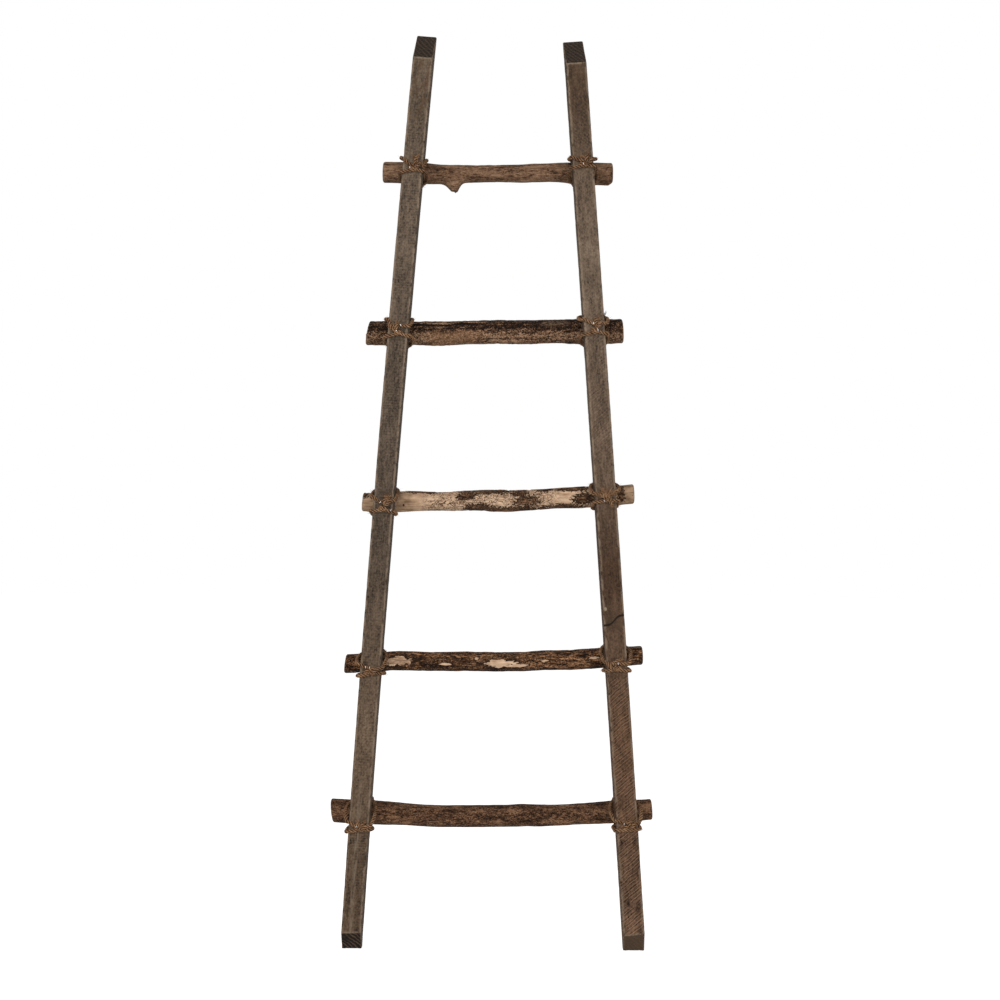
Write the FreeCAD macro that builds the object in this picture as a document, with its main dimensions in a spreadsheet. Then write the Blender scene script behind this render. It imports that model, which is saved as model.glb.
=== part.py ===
"""Blanket ladder: two splayed battens, five bark-on branch rungs behind them, ten twine lashings.

Frame: millimetres, +Z up. The origin is on the floor, midway between the feet, in the plane where the
rungs lie against the backs of the rails. The rails stand in front of that plane (Y below 0) and the
rungs behind it.
"""

import FreeCAD
import Part

import math
import os

from Sketcher import Constraint

Vector = FreeCAD.Vector

doc = FreeCAD.newDocument("blanket_ladder")

# --- driving dimensions ---------------------------------------------------------------------------

SIDES = {"left": -1, "right": 1}
RUNGS = (1, 2, 3, 4, 5)

# Points nearer than this are one point, and the twine is measured at points this far apart.
TOUCHING = 0.001
SAMPLE_STEP = 1.0

# Rails: sawn battens, widest apart at the floor. Spreads are measured between their centre lines.
SIZES = {
    "rail_left_height": 1523.5,
    "rail_right_height": 1516.5,
    "foot_spread": 469.8,
    "top_spread": 242.8,
    "rail_width": 32,
    "rail_depth": 45,
    "rail_left_bow": 5.5,
    "rail_right_bow": 1.6,
    "arris": 1.5,
    "bevel_angle": 48,
    "sole_depth": 12,
}

# Rungs, from the top one down: height of the axis at the left end, the middle and the right end, then
# how far each end stands out past its rail.
RUNG_PLACES = {
    1: (1298.6, 1298.6, 1298.6, 38.0, 37.0),
    2: (1027.5, 1030.5, 1033.6, 42.6, 36.5),
    3: (740.0, 747.0, 759.0, 24.5, 35.7),
    4: (470.0, 476.0, 487.5, 32.9, 31.9),
    5: (223.0, 215.0, 228.0, 37.6, 31.4),
}

# Branch thickness at the left end, left of the middle, in the middle, right of the middle, right end.
RUNG_GIRTHS = {
    1: (36.0, 31.0, 29.5, 31.5, 36.4),
    2: (40.6, 40.6, 40.4, 40.2, 42.4),
    3: (36.6, 31.8, 36.6, 35.4, 36.4),
    4: (31.2, 31.6, 32.1, 33.2, 34.2),
    5: (40.2, 36.4, 37.4, 35.8, 38.0),
}

for number in RUNGS:
    place_names = ("left_height", "mid_height", "right_height", "left_overhang", "right_overhang")
    for name, value in zip(place_names, RUNG_PLACES[number]):
        SIZES[f"rung_{number}_{name}"] = value
    girth_names = ("left_girth", "left_waist", "mid_girth", "right_waist", "right_girth")
    for name, value in zip(girth_names, RUNG_GIRTHS[number]):
        SIZES[f"rung_{number}_{name}"] = value

SIZES.update({
    # seats, ends and the broken-off side branch under the top rung
    "seat_flat": 0.8,
    "seat_margin": 3,
    "rung_end_bevel": 1.5,
    "rung_flats": 24,
    "stub_offset": 79,
    "stub_length": 29,
    "stub_root_girth": 26,
    "stub_tip_girth": 13,
    # pan-head wood screws, from behind through the rung into the rail
    "screw_girth": 4,
    "screw_length": 60,
    "screw_point": 7,
    "screw_head_girth": 8,
    "screw_head_height": 2.6,
    "screw_head_recess": 0.8,
    "screw_clearance": 0.15,
    # twine and the staples over it
    "twine_girth": 5,
    "twine_flats": 8,
    "twine_clearance": 0.3,
    "twine_bend": 5,
    "tail_reach": 9,
    "tail_rise": 9,
    "tail_turn": 1,
    "knot_lift": 5.9,
    "knot_start": 2,
    "knot_end": 5,
    "knot_step": 1,
    "knot_climb": 3.5,
    "staple_inside": 5.6,
    "staple_wire": 1,
    "staple_grip": 9,
    "staple_clearance": 0.1,
    "lower_staple_offset": 4,
    "upper_staple_offset": 11,
})

# Where each lashing crosses the front of its rail: heights of the upper and the lower pass above the
# rung's axis, the side on which the cut end lies, and whether the upper pass is stapled as well.
LASHINGS = {
    (1, "left"): (3.0, -4.5, -1, False),
    (1, "right"): (6.0, -2.0, -1, False),
    (2, "left"): (10.0, -4.0, 1, True),
    (2, "right"): (6.0, -4.0, -1, True),
    (3, "left"): (6.5, -3.5, 1, True),
    (3, "right"): (1.5, -6.0, 1, False),
    (4, "left"): (0.5, -8.5, 1, True),
    (4, "right"): (-2.5, -13.0, -1, False),
    (5, "left"): (-5.0, -13.5, 1, False),
    (5, "right"): (-3.0, -13.5, 1, False),
}

for (number, side), (upper, lower, _, _) in LASHINGS.items():
    SIZES[f"lashing_{number}_{side}_upper"] = upper
    SIZES[f"lashing_{number}_{side}_lower"] = lower

sheet = doc.addObject("Spreadsheet::Sheet", "sizes")
for row, (name, value) in enumerate(SIZES.items(), start=1):
    sheet.set(f"A{row}", name)
    sheet.set(f"B{row}", str(value))
    sheet.setAlias(f"B{row}", name)
doc.recompute()


def size(name):
    """A driving dimension, read from the sheet."""
    return float(sheet.get(name))


def worked_out(expression):
    """The value of an expression on the sheet's cells."""
    result = sheet.evalExpression(expression)
    return float(getattr(result, "Value", result))


# --- lines that the pieces share, worked out from the sheet ---------------------------------------

layout = doc.addObject("App::FeaturePython", "layout")


def define(name, expression):
    """Keeps a derived size as a property of the layout, bound to its expression, and names it."""
    layout.addProperty("App::PropertyFloat", name, "Derived")
    setattr(layout, name, worked_out(expression))
    layout.setExpression(name, expression)
    return f"layout.{name}"


SLOPE = define("slope", "(sizes.foot_spread - sizes.top_spread) / 2 / sizes.rail_left_height")
HALF_WIDTH = define("half_width", f"sizes.rail_width / 2 * sqrt(1 + {SLOPE} * {SLOPE})")


def rail_centre(side, height):
    """X of a rail's centre line at a height: a straight splay plus a parabola for the bow."""
    share = f"(({height}) / sizes.rail_{side}_height)"
    bow = f"sizes.rail_{side}_bow * 4 * {share} * (1 - {share})"
    return f"({SIDES[side]} * (sizes.foot_spread / 2 - {SLOPE} * ({height}) + {bow}))"


def rung_height(number, x):
    """Z of a rung's axis at X: the parabola through its two ends and the middle of the ladder."""
    left = f"layout.rung_{number}_left_end"
    right = f"layout.rung_{number}_right_end"
    rung = f"sizes.rung_{number}"
    terms = (
        f"{rung}_left_height * ({x}) * ({x} - {right}) / ({left} * ({left} - {right}))",
        f"{rung}_mid_height * ({x} - {left}) * ({x} - {right}) / ({left} * {right})",
        f"{rung}_right_height * ({x}) * ({x} - {left}) / ({right} * ({right} - {left}))",
    )
    return "(" + " + ".join(terms) + ")"


for number in RUNGS:
    for side, sign in SIDES.items():
        crossing = rail_centre(side, f"sizes.rung_{number}_{side}_height")
        define(f"rung_{number}_{side}_cross", crossing)
        overhang = f"sizes.rung_{number}_{side}_overhang"
        define(f"rung_{number}_{side}_end", f"{crossing} + {sign} * ({HALF_WIDTH} + {overhang})")
    for side in SIDES:
        height = rung_height(number, f"layout.rung_{number}_{side}_cross")
        define(f"rung_{number}_{side}_cross_height", height)
    # the screw heads sit on a floor below the bark of the thinner end
    thinner = f"min(sizes.rung_{number}_left_girth; sizes.rung_{number}_right_girth) - sizes.seat_flat"
    head_seat = f"{thinner} - sizes.screw_head_height - sizes.screw_head_recess"
    define(f"rung_{number}_head_seat", head_seat)


# --- sketches and features ------------------------------------------------------------------------

def sketch_on(body, name, plane, offset=None):
    """A sketch on one of its body's origin planes, moved along that plane's normal by an expression."""
    sketch = body.newObject("Sketcher::SketchObject", name)
    base = [feature for feature in body.Origin.OriginFeatures if feature.Role == plane][0]
    sketch.AttachmentSupport = [(base, "")]
    sketch.MapMode = "FlatFace"
    if offset:
        sketch.setExpression(".AttachmentOffset.Base.z", offset)
    return sketch


def point_at(place):
    """The point that a pair of expressions gives in a sketch."""
    return Vector(worked_out(place[0]), worked_out(place[1]), 0)


def pin(sketch, geometry, point, place):
    """Ties a point of a sketch to the origin by a pair of expressions."""
    for kind, expression in zip(("DistanceX", "DistanceY"), place):
        index = sketch.addConstraint(Constraint(kind, -1, 1, geometry, point, worked_out(expression)))
        sketch.setExpression(f"Constraints[{index}]", expression)


def add_circle(sketch, place, diameter):
    """A circle whose centre and diameter are expressions."""
    radius = worked_out(diameter) / 2
    geometry = sketch.addGeometry(Part.Circle(point_at(place), Vector(0, 0, 1), radius))
    index = sketch.addConstraint(Constraint("Radius", geometry, radius))
    sketch.setExpression(f"Constraints[{index}]", f"({diameter}) / 2")
    pin(sketch, geometry, 3, place)


def add_arc(sketch, start, through, end):
    """An arc that a pinned point on it bends, and the numbers of its start and end points."""
    begin = point_at(start)
    arc = Part.Arc(begin, point_at(through), point_at(end))
    geometry = sketch.addGeometry(arc)
    guide = sketch.addGeometry(Part.Point(point_at(through)), True)
    sketch.addConstraint(Constraint("PointOnObject", guide, 1, geometry))
    pin(sketch, guide, 1, through)
    first = 1 if sketch.getPoint(geometry, 1).distanceToPoint(begin) < TOUCHING else 2
    return geometry, first, 3 - first


def add_outline(sketch, corners, bends=None):
    """A closed outline through corners, which are pairs of expressions.

    Its sides are straight, except where bends gives the point that a side passes through.
    """
    sides = []
    for number, corner in enumerate(corners):
        following = corners[(number + 1) % len(corners)]
        if bends and number in bends:
            sides.append(add_arc(sketch, corner, bends[number], following))
        else:
            sides.append((sketch.addGeometry(Part.LineSegment(point_at(corner), point_at(following))), 1, 2))
    for number, (geometry, first, last) in enumerate(sides):
        following = sides[(number + 1) % len(sides)]
        sketch.addConstraint(Constraint("Coincident", geometry, last, following[0], following[1]))
        pin(sketch, geometry, first, corners[number])


def pocket(body, name, sketch, depth=None, with_normal=False, both_ways=False):
    """Cuts a sketch's outline against its normal or along it, to a depth or right through."""
    feature = body.newObject("PartDesign::Pocket", name)
    feature.Profile = sketch
    feature.Reversed = with_normal
    if both_ways:
        feature.SideType = "Symmetric"
    if depth:
        feature.setExpression("Length", depth)
    else:
        feature.Type = "ThroughAll"
    return feature


def chamfer(body, name, feature, chosen, width):
    """Bevels the edges of a feature for which a test holds."""
    doc.recompute()
    edges = [f"Edge{index}" for index, edge in enumerate(feature.Shape.Edges, 1) if chosen(edge)]
    bevel = body.newObject("PartDesign::Chamfer", name)
    bevel.Base = (feature, edges)
    bevel.setExpression("Size", width)
    return bevel


# --- rails ----------------------------------------------------------------------------------------

def staple_places(side):
    """(x, z) of each staple on a rail: one over each lower pass, one over some of the upper ones."""
    places = []
    for (number, where), (_, _, hand, twice) in LASHINGS.items():
        if where != side:
            continue
        spots = [("lower", f"{-hand} * sizes.lower_staple_offset")]
        if twice:
            spots.append(("upper", f"{-hand} * sizes.upper_staple_offset"))
        for turn, across in spots:
            cross = f"layout.rung_{number}_{side}_cross"
            # the rail leans, so a pass slopes by the same amount
            up = f"sizes.lashing_{number}_{side}_{turn} + {SIDES[side]} * ({across}) * {SLOPE}"
            along = f"{cross} - {SIDES[side]} * {SLOPE} * sizes.lashing_{number}_{side}_{turn}"
            height = f"layout.rung_{number}_{side}_cross_height"
            places.append((f"({along} + {across})", f"({height} + {up})"))
    return places


def make_rail(side):
    """A batten: its splayed and bowed front outline, thickened, then bevelled at both ends."""
    body = doc.addObject("PartDesign::Body", f"rail_{side}")
    whole = f"sizes.rail_{side}_height"

    def edge(height, sign):
        return f"{rail_centre(side, height)} + {sign} * {HALF_WIDTH}", height

    outline = sketch_on(body, f"rail_{side}_outline", "XZ_Plane")
    corners = [edge("0", -1), edge("0", 1), edge(whole, 1), edge(whole, -1)]
    add_outline(outline, corners, bends={1: edge(f"{whole} / 2", 1), 3: edge(f"{whole} / 2", -1)})
    batten = body.newObject("PartDesign::Pad", f"rail_{side}_batten")
    batten.Profile = outline
    batten.setExpression("Length", "sizes.rail_depth")

    # both ends are sawn at a slant, so that their end grain faces forward
    front = "-sizes.rail_depth"
    rise = "tan(sizes.bevel_angle)"
    bevels = sketch_on(body, f"rail_{side}_bevels", "YZ_Plane")
    add_outline(bevels, [("0", whole), (front, f"{whole} - sizes.rail_depth * {rise}"), (front, whole)])
    foot_rise = f"(sizes.rail_depth - sizes.sole_depth) * {rise}"
    add_outline(bevels, [("-sizes.sole_depth", "0"), (front, foot_rise), (front, "0")])
    ends = pocket(body, f"rail_{side}_ends", bevels, both_ways=True)

    long_edge = f"{whole} / 2"
    chamfer(body, f"rail_{side}_arrises", ends, lambda it: it.Length > worked_out(long_edge), "sizes.arris")

    for number in RUNGS:
        cross = f"layout.rung_{number}_{side}_cross"
        pilot = sketch_on(body, f"rail_{side}_pilot_{number}_circle", "XZ_Plane")
        place = (cross, f"layout.rung_{number}_{side}_cross_height")
        add_circle(pilot, place, "sizes.screw_girth + 2 * sizes.screw_clearance")
        reach = f"sizes.screw_length - layout.rung_{number}_head_seat + sizes.screw_clearance"
        pocket(body, f"rail_{side}_pilot_{number}", pilot, depth=reach, with_normal=True)

    legs = sketch_on(body, f"rail_{side}_leg_outlines", "XZ_Plane", offset="sizes.rail_depth")
    half = "(sizes.staple_wire / 2 + sizes.staple_clearance)"
    for across, up in staple_places(side):
        for sign in (-1, 1):
            leg = f"{up} + {sign} * (sizes.staple_inside + sizes.staple_wire) / 2"
            low, high = f"{leg} - {half}", f"{leg} + {half}"
            left, right = f"{across} - {half}", f"{across} + {half}"
            add_outline(legs, [(left, low), (right, low), (right, high), (left, high)])
    pocket(body, f"rail_{side}_leg_slots", legs, depth="sizes.staple_grip + sizes.staple_clearance")
    return body


# --- rungs ----------------------------------------------------------------------------------------

def add_solid(kind, name, sizes, place, rotation=None):
    """A primitive whose sizes and place are expressions on the sheet."""
    solid = doc.addObject(kind, name)
    if rotation:
        solid.Placement = FreeCAD.Placement(Vector(), rotation)
    for key, expression in sizes.items():
        solid.setExpression(key, expression)
    for axis, expression in zip("xyz", place):
        solid.setExpression(f".Placement.Base.{axis}", expression)
    return solid


def add_boolean(kind, name, base, tools):
    """Joins or cuts a base with a group of tools."""
    group = doc.addObject("Part::Compound", f"{name}_tools")
    group.Links = tools
    result = doc.addObject(kind, name)
    result.Base = base
    result.Tool = group
    return result


ALONG_X = FreeCAD.Rotation(Vector(0, 1, 0), 90)
BACKWARD = FreeCAD.Rotation(Vector(1, 0, 0), -90)
DOWNWARD = FreeCAD.Rotation(Vector(1, 0, 0), 180)


def make_rung(number):
    """A branch: a ruled loft through many-sided sections that follow its girth and bend, bevelled at its
    sawn ends, then cut flat where it lies on the rails and bored for a screw at each of them."""
    girth = f"sizes.rung_{number}"
    line = f"layout.rung_{number}"
    bevel = "sizes.rung_end_bevel"
    stations = {
        "left_face": (f"{line}_left_end", f"{girth}_left_girth - 2 * {bevel}"),
        "left_end": (f"{line}_left_end + {bevel}", f"{girth}_left_girth"),
        "left_seat": (f"{line}_left_cross", f"{girth}_left_girth"),
        "left_waist": (f"{line}_left_cross / 2", f"{girth}_left_waist"),
        "middle": ("0", f"{girth}_mid_girth"),
        "right_waist": (f"{line}_right_cross / 2", f"{girth}_right_waist"),
        "right_seat": (f"{line}_right_cross", f"{girth}_right_girth"),
        "right_end": (f"{line}_right_end - {bevel}", f"{girth}_right_girth"),
        "right_face": (f"{line}_right_end", f"{girth}_right_girth - 2 * {bevel}"),
    }
    sections = []
    for station, (x, diameter) in stations.items():
        # the branch lies along the rails' backs, so every section but the faces is as far forward
        forward = f"sizes.seat_flat - {bevel}" if station.endswith("face") else "sizes.seat_flat"
        place = (x, f"({diameter}) / 2 - ({forward})", rung_height(number, x))
        section_sizes = {"Circumradius": f"({diameter}) / 2", "Polygon": "sizes.rung_flats"}
        name = f"rung_{number}_{station}"
        sections.append(add_solid("Part::RegularPolygon", name, section_sizes, place, ALONG_X))
    blank = doc.addObject("Part::Loft", f"rung_{number}_branch")
    blank.Sections = sections
    blank.Solid = True
    blank.Ruled = True

    if number == 1:
        sizes = {
            "Radius1": "sizes.stub_root_girth / 2",
            "Radius2": "sizes.stub_tip_girth / 2",
            "Height": "sizes.stub_length",
        }
        x = "-sizes.stub_offset"
        place = (x, f"{girth}_mid_girth / 2 - sizes.seat_flat", rung_height(number, x))
        stub = add_solid("Part::Cone", "rung_1_broken_branch", sizes, place, DOWNWARD)
        blank = add_boolean("Part::Fuse", "rung_1_with_broken_branch", blank, [stub])

    tools = []
    for side in SIDES:
        across, up = f"{line}_{side}_cross", f"{line}_{side}_cross_height"
        tall = f"{girth}_{side}_girth"
        sizes = {
            "Length": f"2 * ({HALF_WIDTH} + sizes.seat_margin)",
            "Width": "2 * sizes.seat_flat",
            "Height": tall,
        }
        corner = (f"{across} - {HALF_WIDTH} - sizes.seat_margin", "-2 * sizes.seat_flat", f"{up} - {tall} / 2")
        tools.append(add_solid("Part::Box", f"rung_{number}_{side}_seat", sizes, corner))
        sizes = {"Radius": "sizes.screw_girth / 2 + sizes.screw_clearance", "Height": f"2 * {tall}"}
        place = (across, f"-{tall}", up)
        tools.append(add_solid("Part::Cylinder", f"rung_{number}_{side}_hole", sizes, place, BACKWARD))
        sizes = {"Radius": "sizes.screw_head_girth / 2 + sizes.screw_clearance", "Height": tall}
        place = (across, f"{line}_head_seat", up)
        tools.append(add_solid("Part::Cylinder", f"rung_{number}_{side}_head_bore", sizes, place, BACKWARD))
    return add_boolean("Part::Cut", f"rung_{number}", blank, tools)


# --- screws and staples ---------------------------------------------------------------------------

def make_screws(side):
    """Five wood screws: a half profile turned about the screw's axis, from behind into the rail."""
    shank, head = size("screw_girth") / 2, size("screw_head_girth") / 2
    tip, cone = size("screw_length"), size("screw_point")
    top = size("screw_head_height")
    profile = [(0, -tip), (shank, cone - tip), (shank, 0), (head, 0), (head, top), (0, top)]
    points = [Vector(across, along, 0) for across, along in profile]
    face = Part.Face(Part.makePolygon(points + points[:1]))
    screw = face.revolve(Vector(), Vector(0, 1, 0), 360)
    screws = []
    for number in RUNGS:
        x = worked_out(f"layout.rung_{number}_{side}_cross")
        y = worked_out(f"layout.rung_{number}_head_seat")
        z = worked_out(f"layout.rung_{number}_{side}_cross_height")
        screws.append(screw.translated(Vector(x, y, z)))
    return add_feature(f"rung_screws_{side}", Part.makeCompound(screws))


def make_staples(side):
    """Wire staples astride the twine, their legs in the rail: a U-shaped outline, thickened."""
    wire, inside = size("staple_wire"), size("staple_inside") / 2
    crown = size("rail_depth") + size("twine_girth") + size("twine_clearance") + size("staple_clearance")
    tip = size("rail_depth") - size("staple_grip")
    outline = [
        (-tip, inside), (-crown, inside), (-crown, -inside), (-tip, -inside),
        (-tip, -inside - wire), (-crown - wire, -inside - wire), (-crown - wire, inside + wire),
        (-tip, inside + wire),
    ]
    points = [Vector(-wire / 2, along, up) for along, up in outline]
    staple = Part.Face(Part.makePolygon(points + points[:1])).extrude(Vector(wire, 0, 0))
    staples = [staple.translated(Vector(worked_out(x), 0, worked_out(z))) for x, z in staple_places(side)]
    return add_feature(f"twine_staples_{side}", Part.makeCompound(staples))


def add_feature(name, shape):
    """A document object that holds a finished shape."""
    feature = doc.addObject("Part::Feature", name)
    feature.Shape = shape
    feature.Placement = FreeCAD.Placement()
    return feature


# --- lashings -------------------------------------------------------------------------------------

def rounded_path(points, radii):
    """Straight runs joined by tangent arcs: its edges, and points along it for measuring."""
    edges, samples = [], []
    start = points[0]
    for before, corner, after, radius in zip(points, points[1:], points[2:], radii):
        towards = (corner - before).normalize()
        away = (after - corner).normalize()
        half_turn = towards.getAngle(away) / 2
        tangent = radius * math.tan(half_turn)
        arc_start, arc_end = corner - towards * tangent, corner + away * tangent
        inward = (away - towards).normalize()
        arc_middle = corner + inward * (radius / math.cos(half_turn) - radius)
        if start.distanceToPoint(arc_start) > TOUCHING:
            edges.append(Part.LineSegment(start, arc_start).toShape())
        else:
            arc_start = start
        edges.append(Part.Arc(arc_start, arc_middle, arc_end).toShape())
        start = arc_end
    edges.append(Part.LineSegment(start, points[-1]).toShape())
    for edge in edges:
        longer = edge.Length > SAMPLE_STEP
        samples += edge.discretize(Distance=SAMPLE_STEP) if longer else [edge.firstVertex().Point]
    return edges, samples


def least_gap(samples, girth):
    """The least distance between two stretches of a tube, less its thickness.

    Points closer together along the tube than three times its thickness are one stretch.
    """
    travelled = [0.0]
    for before, after in zip(samples, samples[1:]):
        travelled.append(travelled[-1] + before.distanceToPoint(after))
    least = math.inf
    for first, here in enumerate(samples):
        for second in range(first + 1, len(samples)):
            if travelled[second] - travelled[first] > 3 * girth:
                least = min(least, here.distanceToPoint(samples[second]))
    return least - girth


def side_strand(rung, x, level, pass_y, upper, lower, stand_off):
    """Where one side's strand turns behind the rung: the corners that its two tangents make there.

    Both are (y, z) in the plane beside the rail. The tangents leave the passes on the rail's front and
    touch the circle that the twine's centre line makes round the rung.
    """
    section = rung.Shape.slice(Vector(1, 0, 0), x)[0].BoundBox
    reach = max(section.YLength, section.ZLength) / 2 + stand_off
    middle_y = section.Center.y
    middle_z = section.Center.z - level
    back = middle_y + reach
    corners = []
    for height, sign in ((upper, 1), (lower, -1)):
        rise, run = middle_z - height, middle_y - pass_y
        angle = math.atan2(rise, run) + sign * math.asin(reach / math.hypot(rise, run))
        corners.append((back, height + (back - pass_y) * math.tan(angle)))
    return corners, reach


def make_lashing(number, side, rung):
    """A length of twine: from its cut end across the rail's front, round behind the rung on one side,
    back across the front lower down, round the rung on the other side, and over itself to its tail."""
    hand = LASHINGS[number, side][2]
    girth = size("twine_girth")
    stand_off = girth / 2 + size("twine_clearance")
    pass_y = -size("rail_depth") - stand_off
    upper = size(f"lashing_{number}_{side}_upper")
    lower = size(f"lashing_{number}_{side}_lower")
    origin_x = worked_out(f"layout.rung_{number}_{side}_cross")
    origin_z = worked_out(f"layout.rung_{number}_{side}_cross_height")
    # the twine lies square to the leaning rail
    lean = -SIDES[side] * math.atan(worked_out(SLOPE))
    across = Vector(math.cos(lean), 0, -math.sin(lean))
    up = Vector(math.sin(lean), 0, math.cos(lean))
    beside = size("rail_width") / 2 + stand_off

    def place(x, y, z):
        return Vector(origin_x, 0, origin_z) + across * x + Vector(0, y, 0) + up * z

    bend = size("twine_bend")
    reach, rise, lift = size("tail_reach"), size("tail_rise"), size("knot_lift")
    step, over = size("knot_step"), pass_y - size("knot_lift")
    far, near = {}, {}
    for sign in (-hand, hand):
        # the twine's plane beside the rail leans with it, so its level there is above or below the axis
        level = origin_z - sign * beside * math.sin(lean)
        far[sign], near[sign] = side_strand(
            rung, origin_x + across.x * sign * beside, level, pass_y, upper, lower, stand_off)
    points = [
        place(hand * reach, pass_y, upper + rise),
        place(-hand * size("tail_turn"), pass_y, upper),
        place(-hand * beside, pass_y, upper),
        place(-hand * beside, *far[-hand][0]),
        place(-hand * beside, *far[-hand][1]),
        place(-hand * beside, pass_y, lower),
        place(hand * beside, pass_y, lower),
        place(hand * beside, *far[hand][1]),
        place(hand * beside, *far[hand][0]),
        place(hand * beside, pass_y, upper),
        place(hand * size("knot_start"), over, upper + step),
        place(-hand * size("knot_end"), over, upper + size("knot_climb")),
        place(-hand * reach, over + lift / 2, upper + rise + step),
    ]
    radii = [2 * bend, bend, near[-hand], near[-hand], bend, bend, near[hand], near[hand], bend,
             2 * bend, 2 * bend]
    edges, samples = rounded_path(points, radii)
    path = Part.Wire(edges)
    direction = (points[1] - points[0]).normalize()
    sideways = direction.cross(Vector(0, 1, 0)).normalize()
    flats = round(size("twine_flats"))
    ring = [
        FreeCAD.Rotation(direction, 360 * index / flats).multVec(sideways * (girth / 2))
        for index in range(flats)
    ]
    section = Part.makePolygon([points[0] + spoke for spoke in ring + ring[:1]])
    shell = Part.BRepOffsetAPI.MakePipeShell(path)
    shell.add(section)
    shell.build()
    shell.makeSolid()
    tube = shell.shape()
    name = f"lashing_{number}_{side}"
    area = Part.Face(section).Area
    print(f"{name}: length {path.Length:.0f}, volume over section times length "
          f"{tube.Volume / (area * path.Length):.4f}, least gap {least_gap(samples, girth):.2f}, "
          f"radii {[round(radius, 1) for radius in radii]}")
    return add_feature(name, tube)


# --- assembly -------------------------------------------------------------------------------------

pieces = [make_rail(side) for side in SIDES]
rungs = {number: make_rung(number) for number in RUNGS}
pieces += rungs.values()
doc.recompute()

for number in RUNGS:
    for side in SIDES:
        pieces.append(make_lashing(number, side, rungs[number]))
for side in SIDES:
    pieces.append(make_screws(side))
    pieces.append(make_staples(side))
doc.recompute()

for item in doc.Objects:
    if "Invalid" in item.State or "Error" in item.State:
        raise RuntimeError(f"{item.Name} failed: {item.State}")
for piece in pieces:
    if piece.Shape.isNull() or not piece.Shape.isValid():
        raise RuntimeError(f"{piece.Label} has no valid shape")

os.makedirs("parts", exist_ok=True)
for piece in pieces:
    piece.Shape.exportStep(f"parts/{piece.Label}.step")
    box = piece.Shape.BoundBox
    print(f"{piece.Label}: {len(piece.Shape.Solids)} solid, volume {piece.Shape.Volume:.0f}, "
          f"x {box.XMin:.1f} to {box.XMax:.1f}, y {box.YMin:.1f} to {box.YMax:.1f}, "
          f"z {box.ZMin:.1f} to {box.ZMax:.1f}")
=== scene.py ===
import math

import bpy
import numpy as np
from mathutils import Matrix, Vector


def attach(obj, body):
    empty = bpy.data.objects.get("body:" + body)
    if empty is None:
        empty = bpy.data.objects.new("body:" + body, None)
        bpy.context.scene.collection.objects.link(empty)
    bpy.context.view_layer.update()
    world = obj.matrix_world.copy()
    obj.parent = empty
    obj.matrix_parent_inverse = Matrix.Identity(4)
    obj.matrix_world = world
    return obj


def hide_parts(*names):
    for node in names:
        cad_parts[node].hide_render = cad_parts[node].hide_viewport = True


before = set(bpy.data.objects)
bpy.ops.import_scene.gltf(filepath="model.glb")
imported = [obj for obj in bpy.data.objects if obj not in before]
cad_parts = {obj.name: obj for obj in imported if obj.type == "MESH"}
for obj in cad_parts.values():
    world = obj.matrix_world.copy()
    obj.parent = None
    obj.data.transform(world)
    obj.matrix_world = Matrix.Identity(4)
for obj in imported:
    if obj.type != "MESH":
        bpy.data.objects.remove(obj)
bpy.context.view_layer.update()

# --- Rails ----------------------------------------------------------------------------------------
# Two rough-sawn softwood battens, stained grey-brown, which carry the rungs. Both lean inwards, bow a
# little outwards and are sawn off at a slant, so that their dark end grain faces forward.

SIGNS = {"left": -1, "right": 1}
RAIL_HEIGHTS = {"left": 1.5235, "right": 1.5165}
RAIL_BOWS = {"left": 0.0055, "right": 0.0016}
FOOT_SPREAD, TOP_SPREAD = 0.4698, 0.2428
RAIL_WIDTH, RAIL_DEPTH = 0.032, 0.045
# The radius of the arrises, about how wide a facet of the mesh is, and how many rings it has.
ARRIS, FACET, RAIL_RINGS = 0.0016, 0.0026, 520
SOLE_DEPTH = 0.012
BEVEL_RISE = math.tan(math.radians(48))
LEAN = (FOOT_SPREAD - TOP_SPREAD) / 2 / RAIL_HEIGHTS["left"]
HALF_WIDTH = RAIL_WIDTH / 2 * math.hypot(1, LEAN)
# The foot's slanted cut isn't square: at the batten's right side it rises by this share more.
FOOT_SKEW = {"left": 0.01, "right": 0.06}
# Metres from an arris, and from a sawn end, between which its wear and its painted highlight die out, and how
# deep dents are.
ARRIS_WEAR_AND_HIGHLIGHT, END_WEAR_AND_HIGHLIGHT = (0.0012, 0.004), (0.0006, 0.003)
WAVINESS, NICK_DEPTH = 0.0002, 0.0009


def rail_centre(side, height):
    """X of a rail's centre line at a height: a straight splay plus a parabola for the bow."""
    share = height / RAIL_HEIGHTS[side]
    bow = RAIL_BOWS[side] * 4 * share * (1 - share)
    return SIGNS[side] * (FOOT_SPREAD / 2 - LEAN * height + bow)


def batten_side(side, sign, height):
    """How far a batten's left (-1) or right (1) side stands from its centre line: these two are not planed
    to one width, and the right one is broadest on its inner side at the foot."""
    if side == "left":
        return HALF_WIDTH + 0.0004
    return HALF_WIDTH + np.where(sign < 0, 0.0024 - 0.0016 * height / RAIL_HEIGHTS[side], 0.0007)


def smooth(value, low, high):
    """0 below low, 1 above high, and an S-shaped rise between them."""
    share = np.clip((value - low) / (high - low), 0, 1)
    return share * share * (3 - 2 * share)


def lumps(points, size, seed):
    """Smooth noise from -1 to 1: random numbers on a lattice of a given cell size, blended between."""
    scaled = points / np.asarray(size)
    cell = np.floor(scaled)
    share = scaled - cell
    share = share * share * (3 - 2 * share)
    total = np.zeros(points.shape[:-1])
    for corner in np.ndindex(2, 2, 2):
        hashed = np.sin((cell + corner) @ np.array([127.1, 311.7, 74.7]) + seed) * 43758.5453
        weight = np.prod(np.where(corner, share, 1 - share), axis=-1)
        total += weight * (hashed - np.floor(hashed))
    return 2 * total - 1


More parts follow.
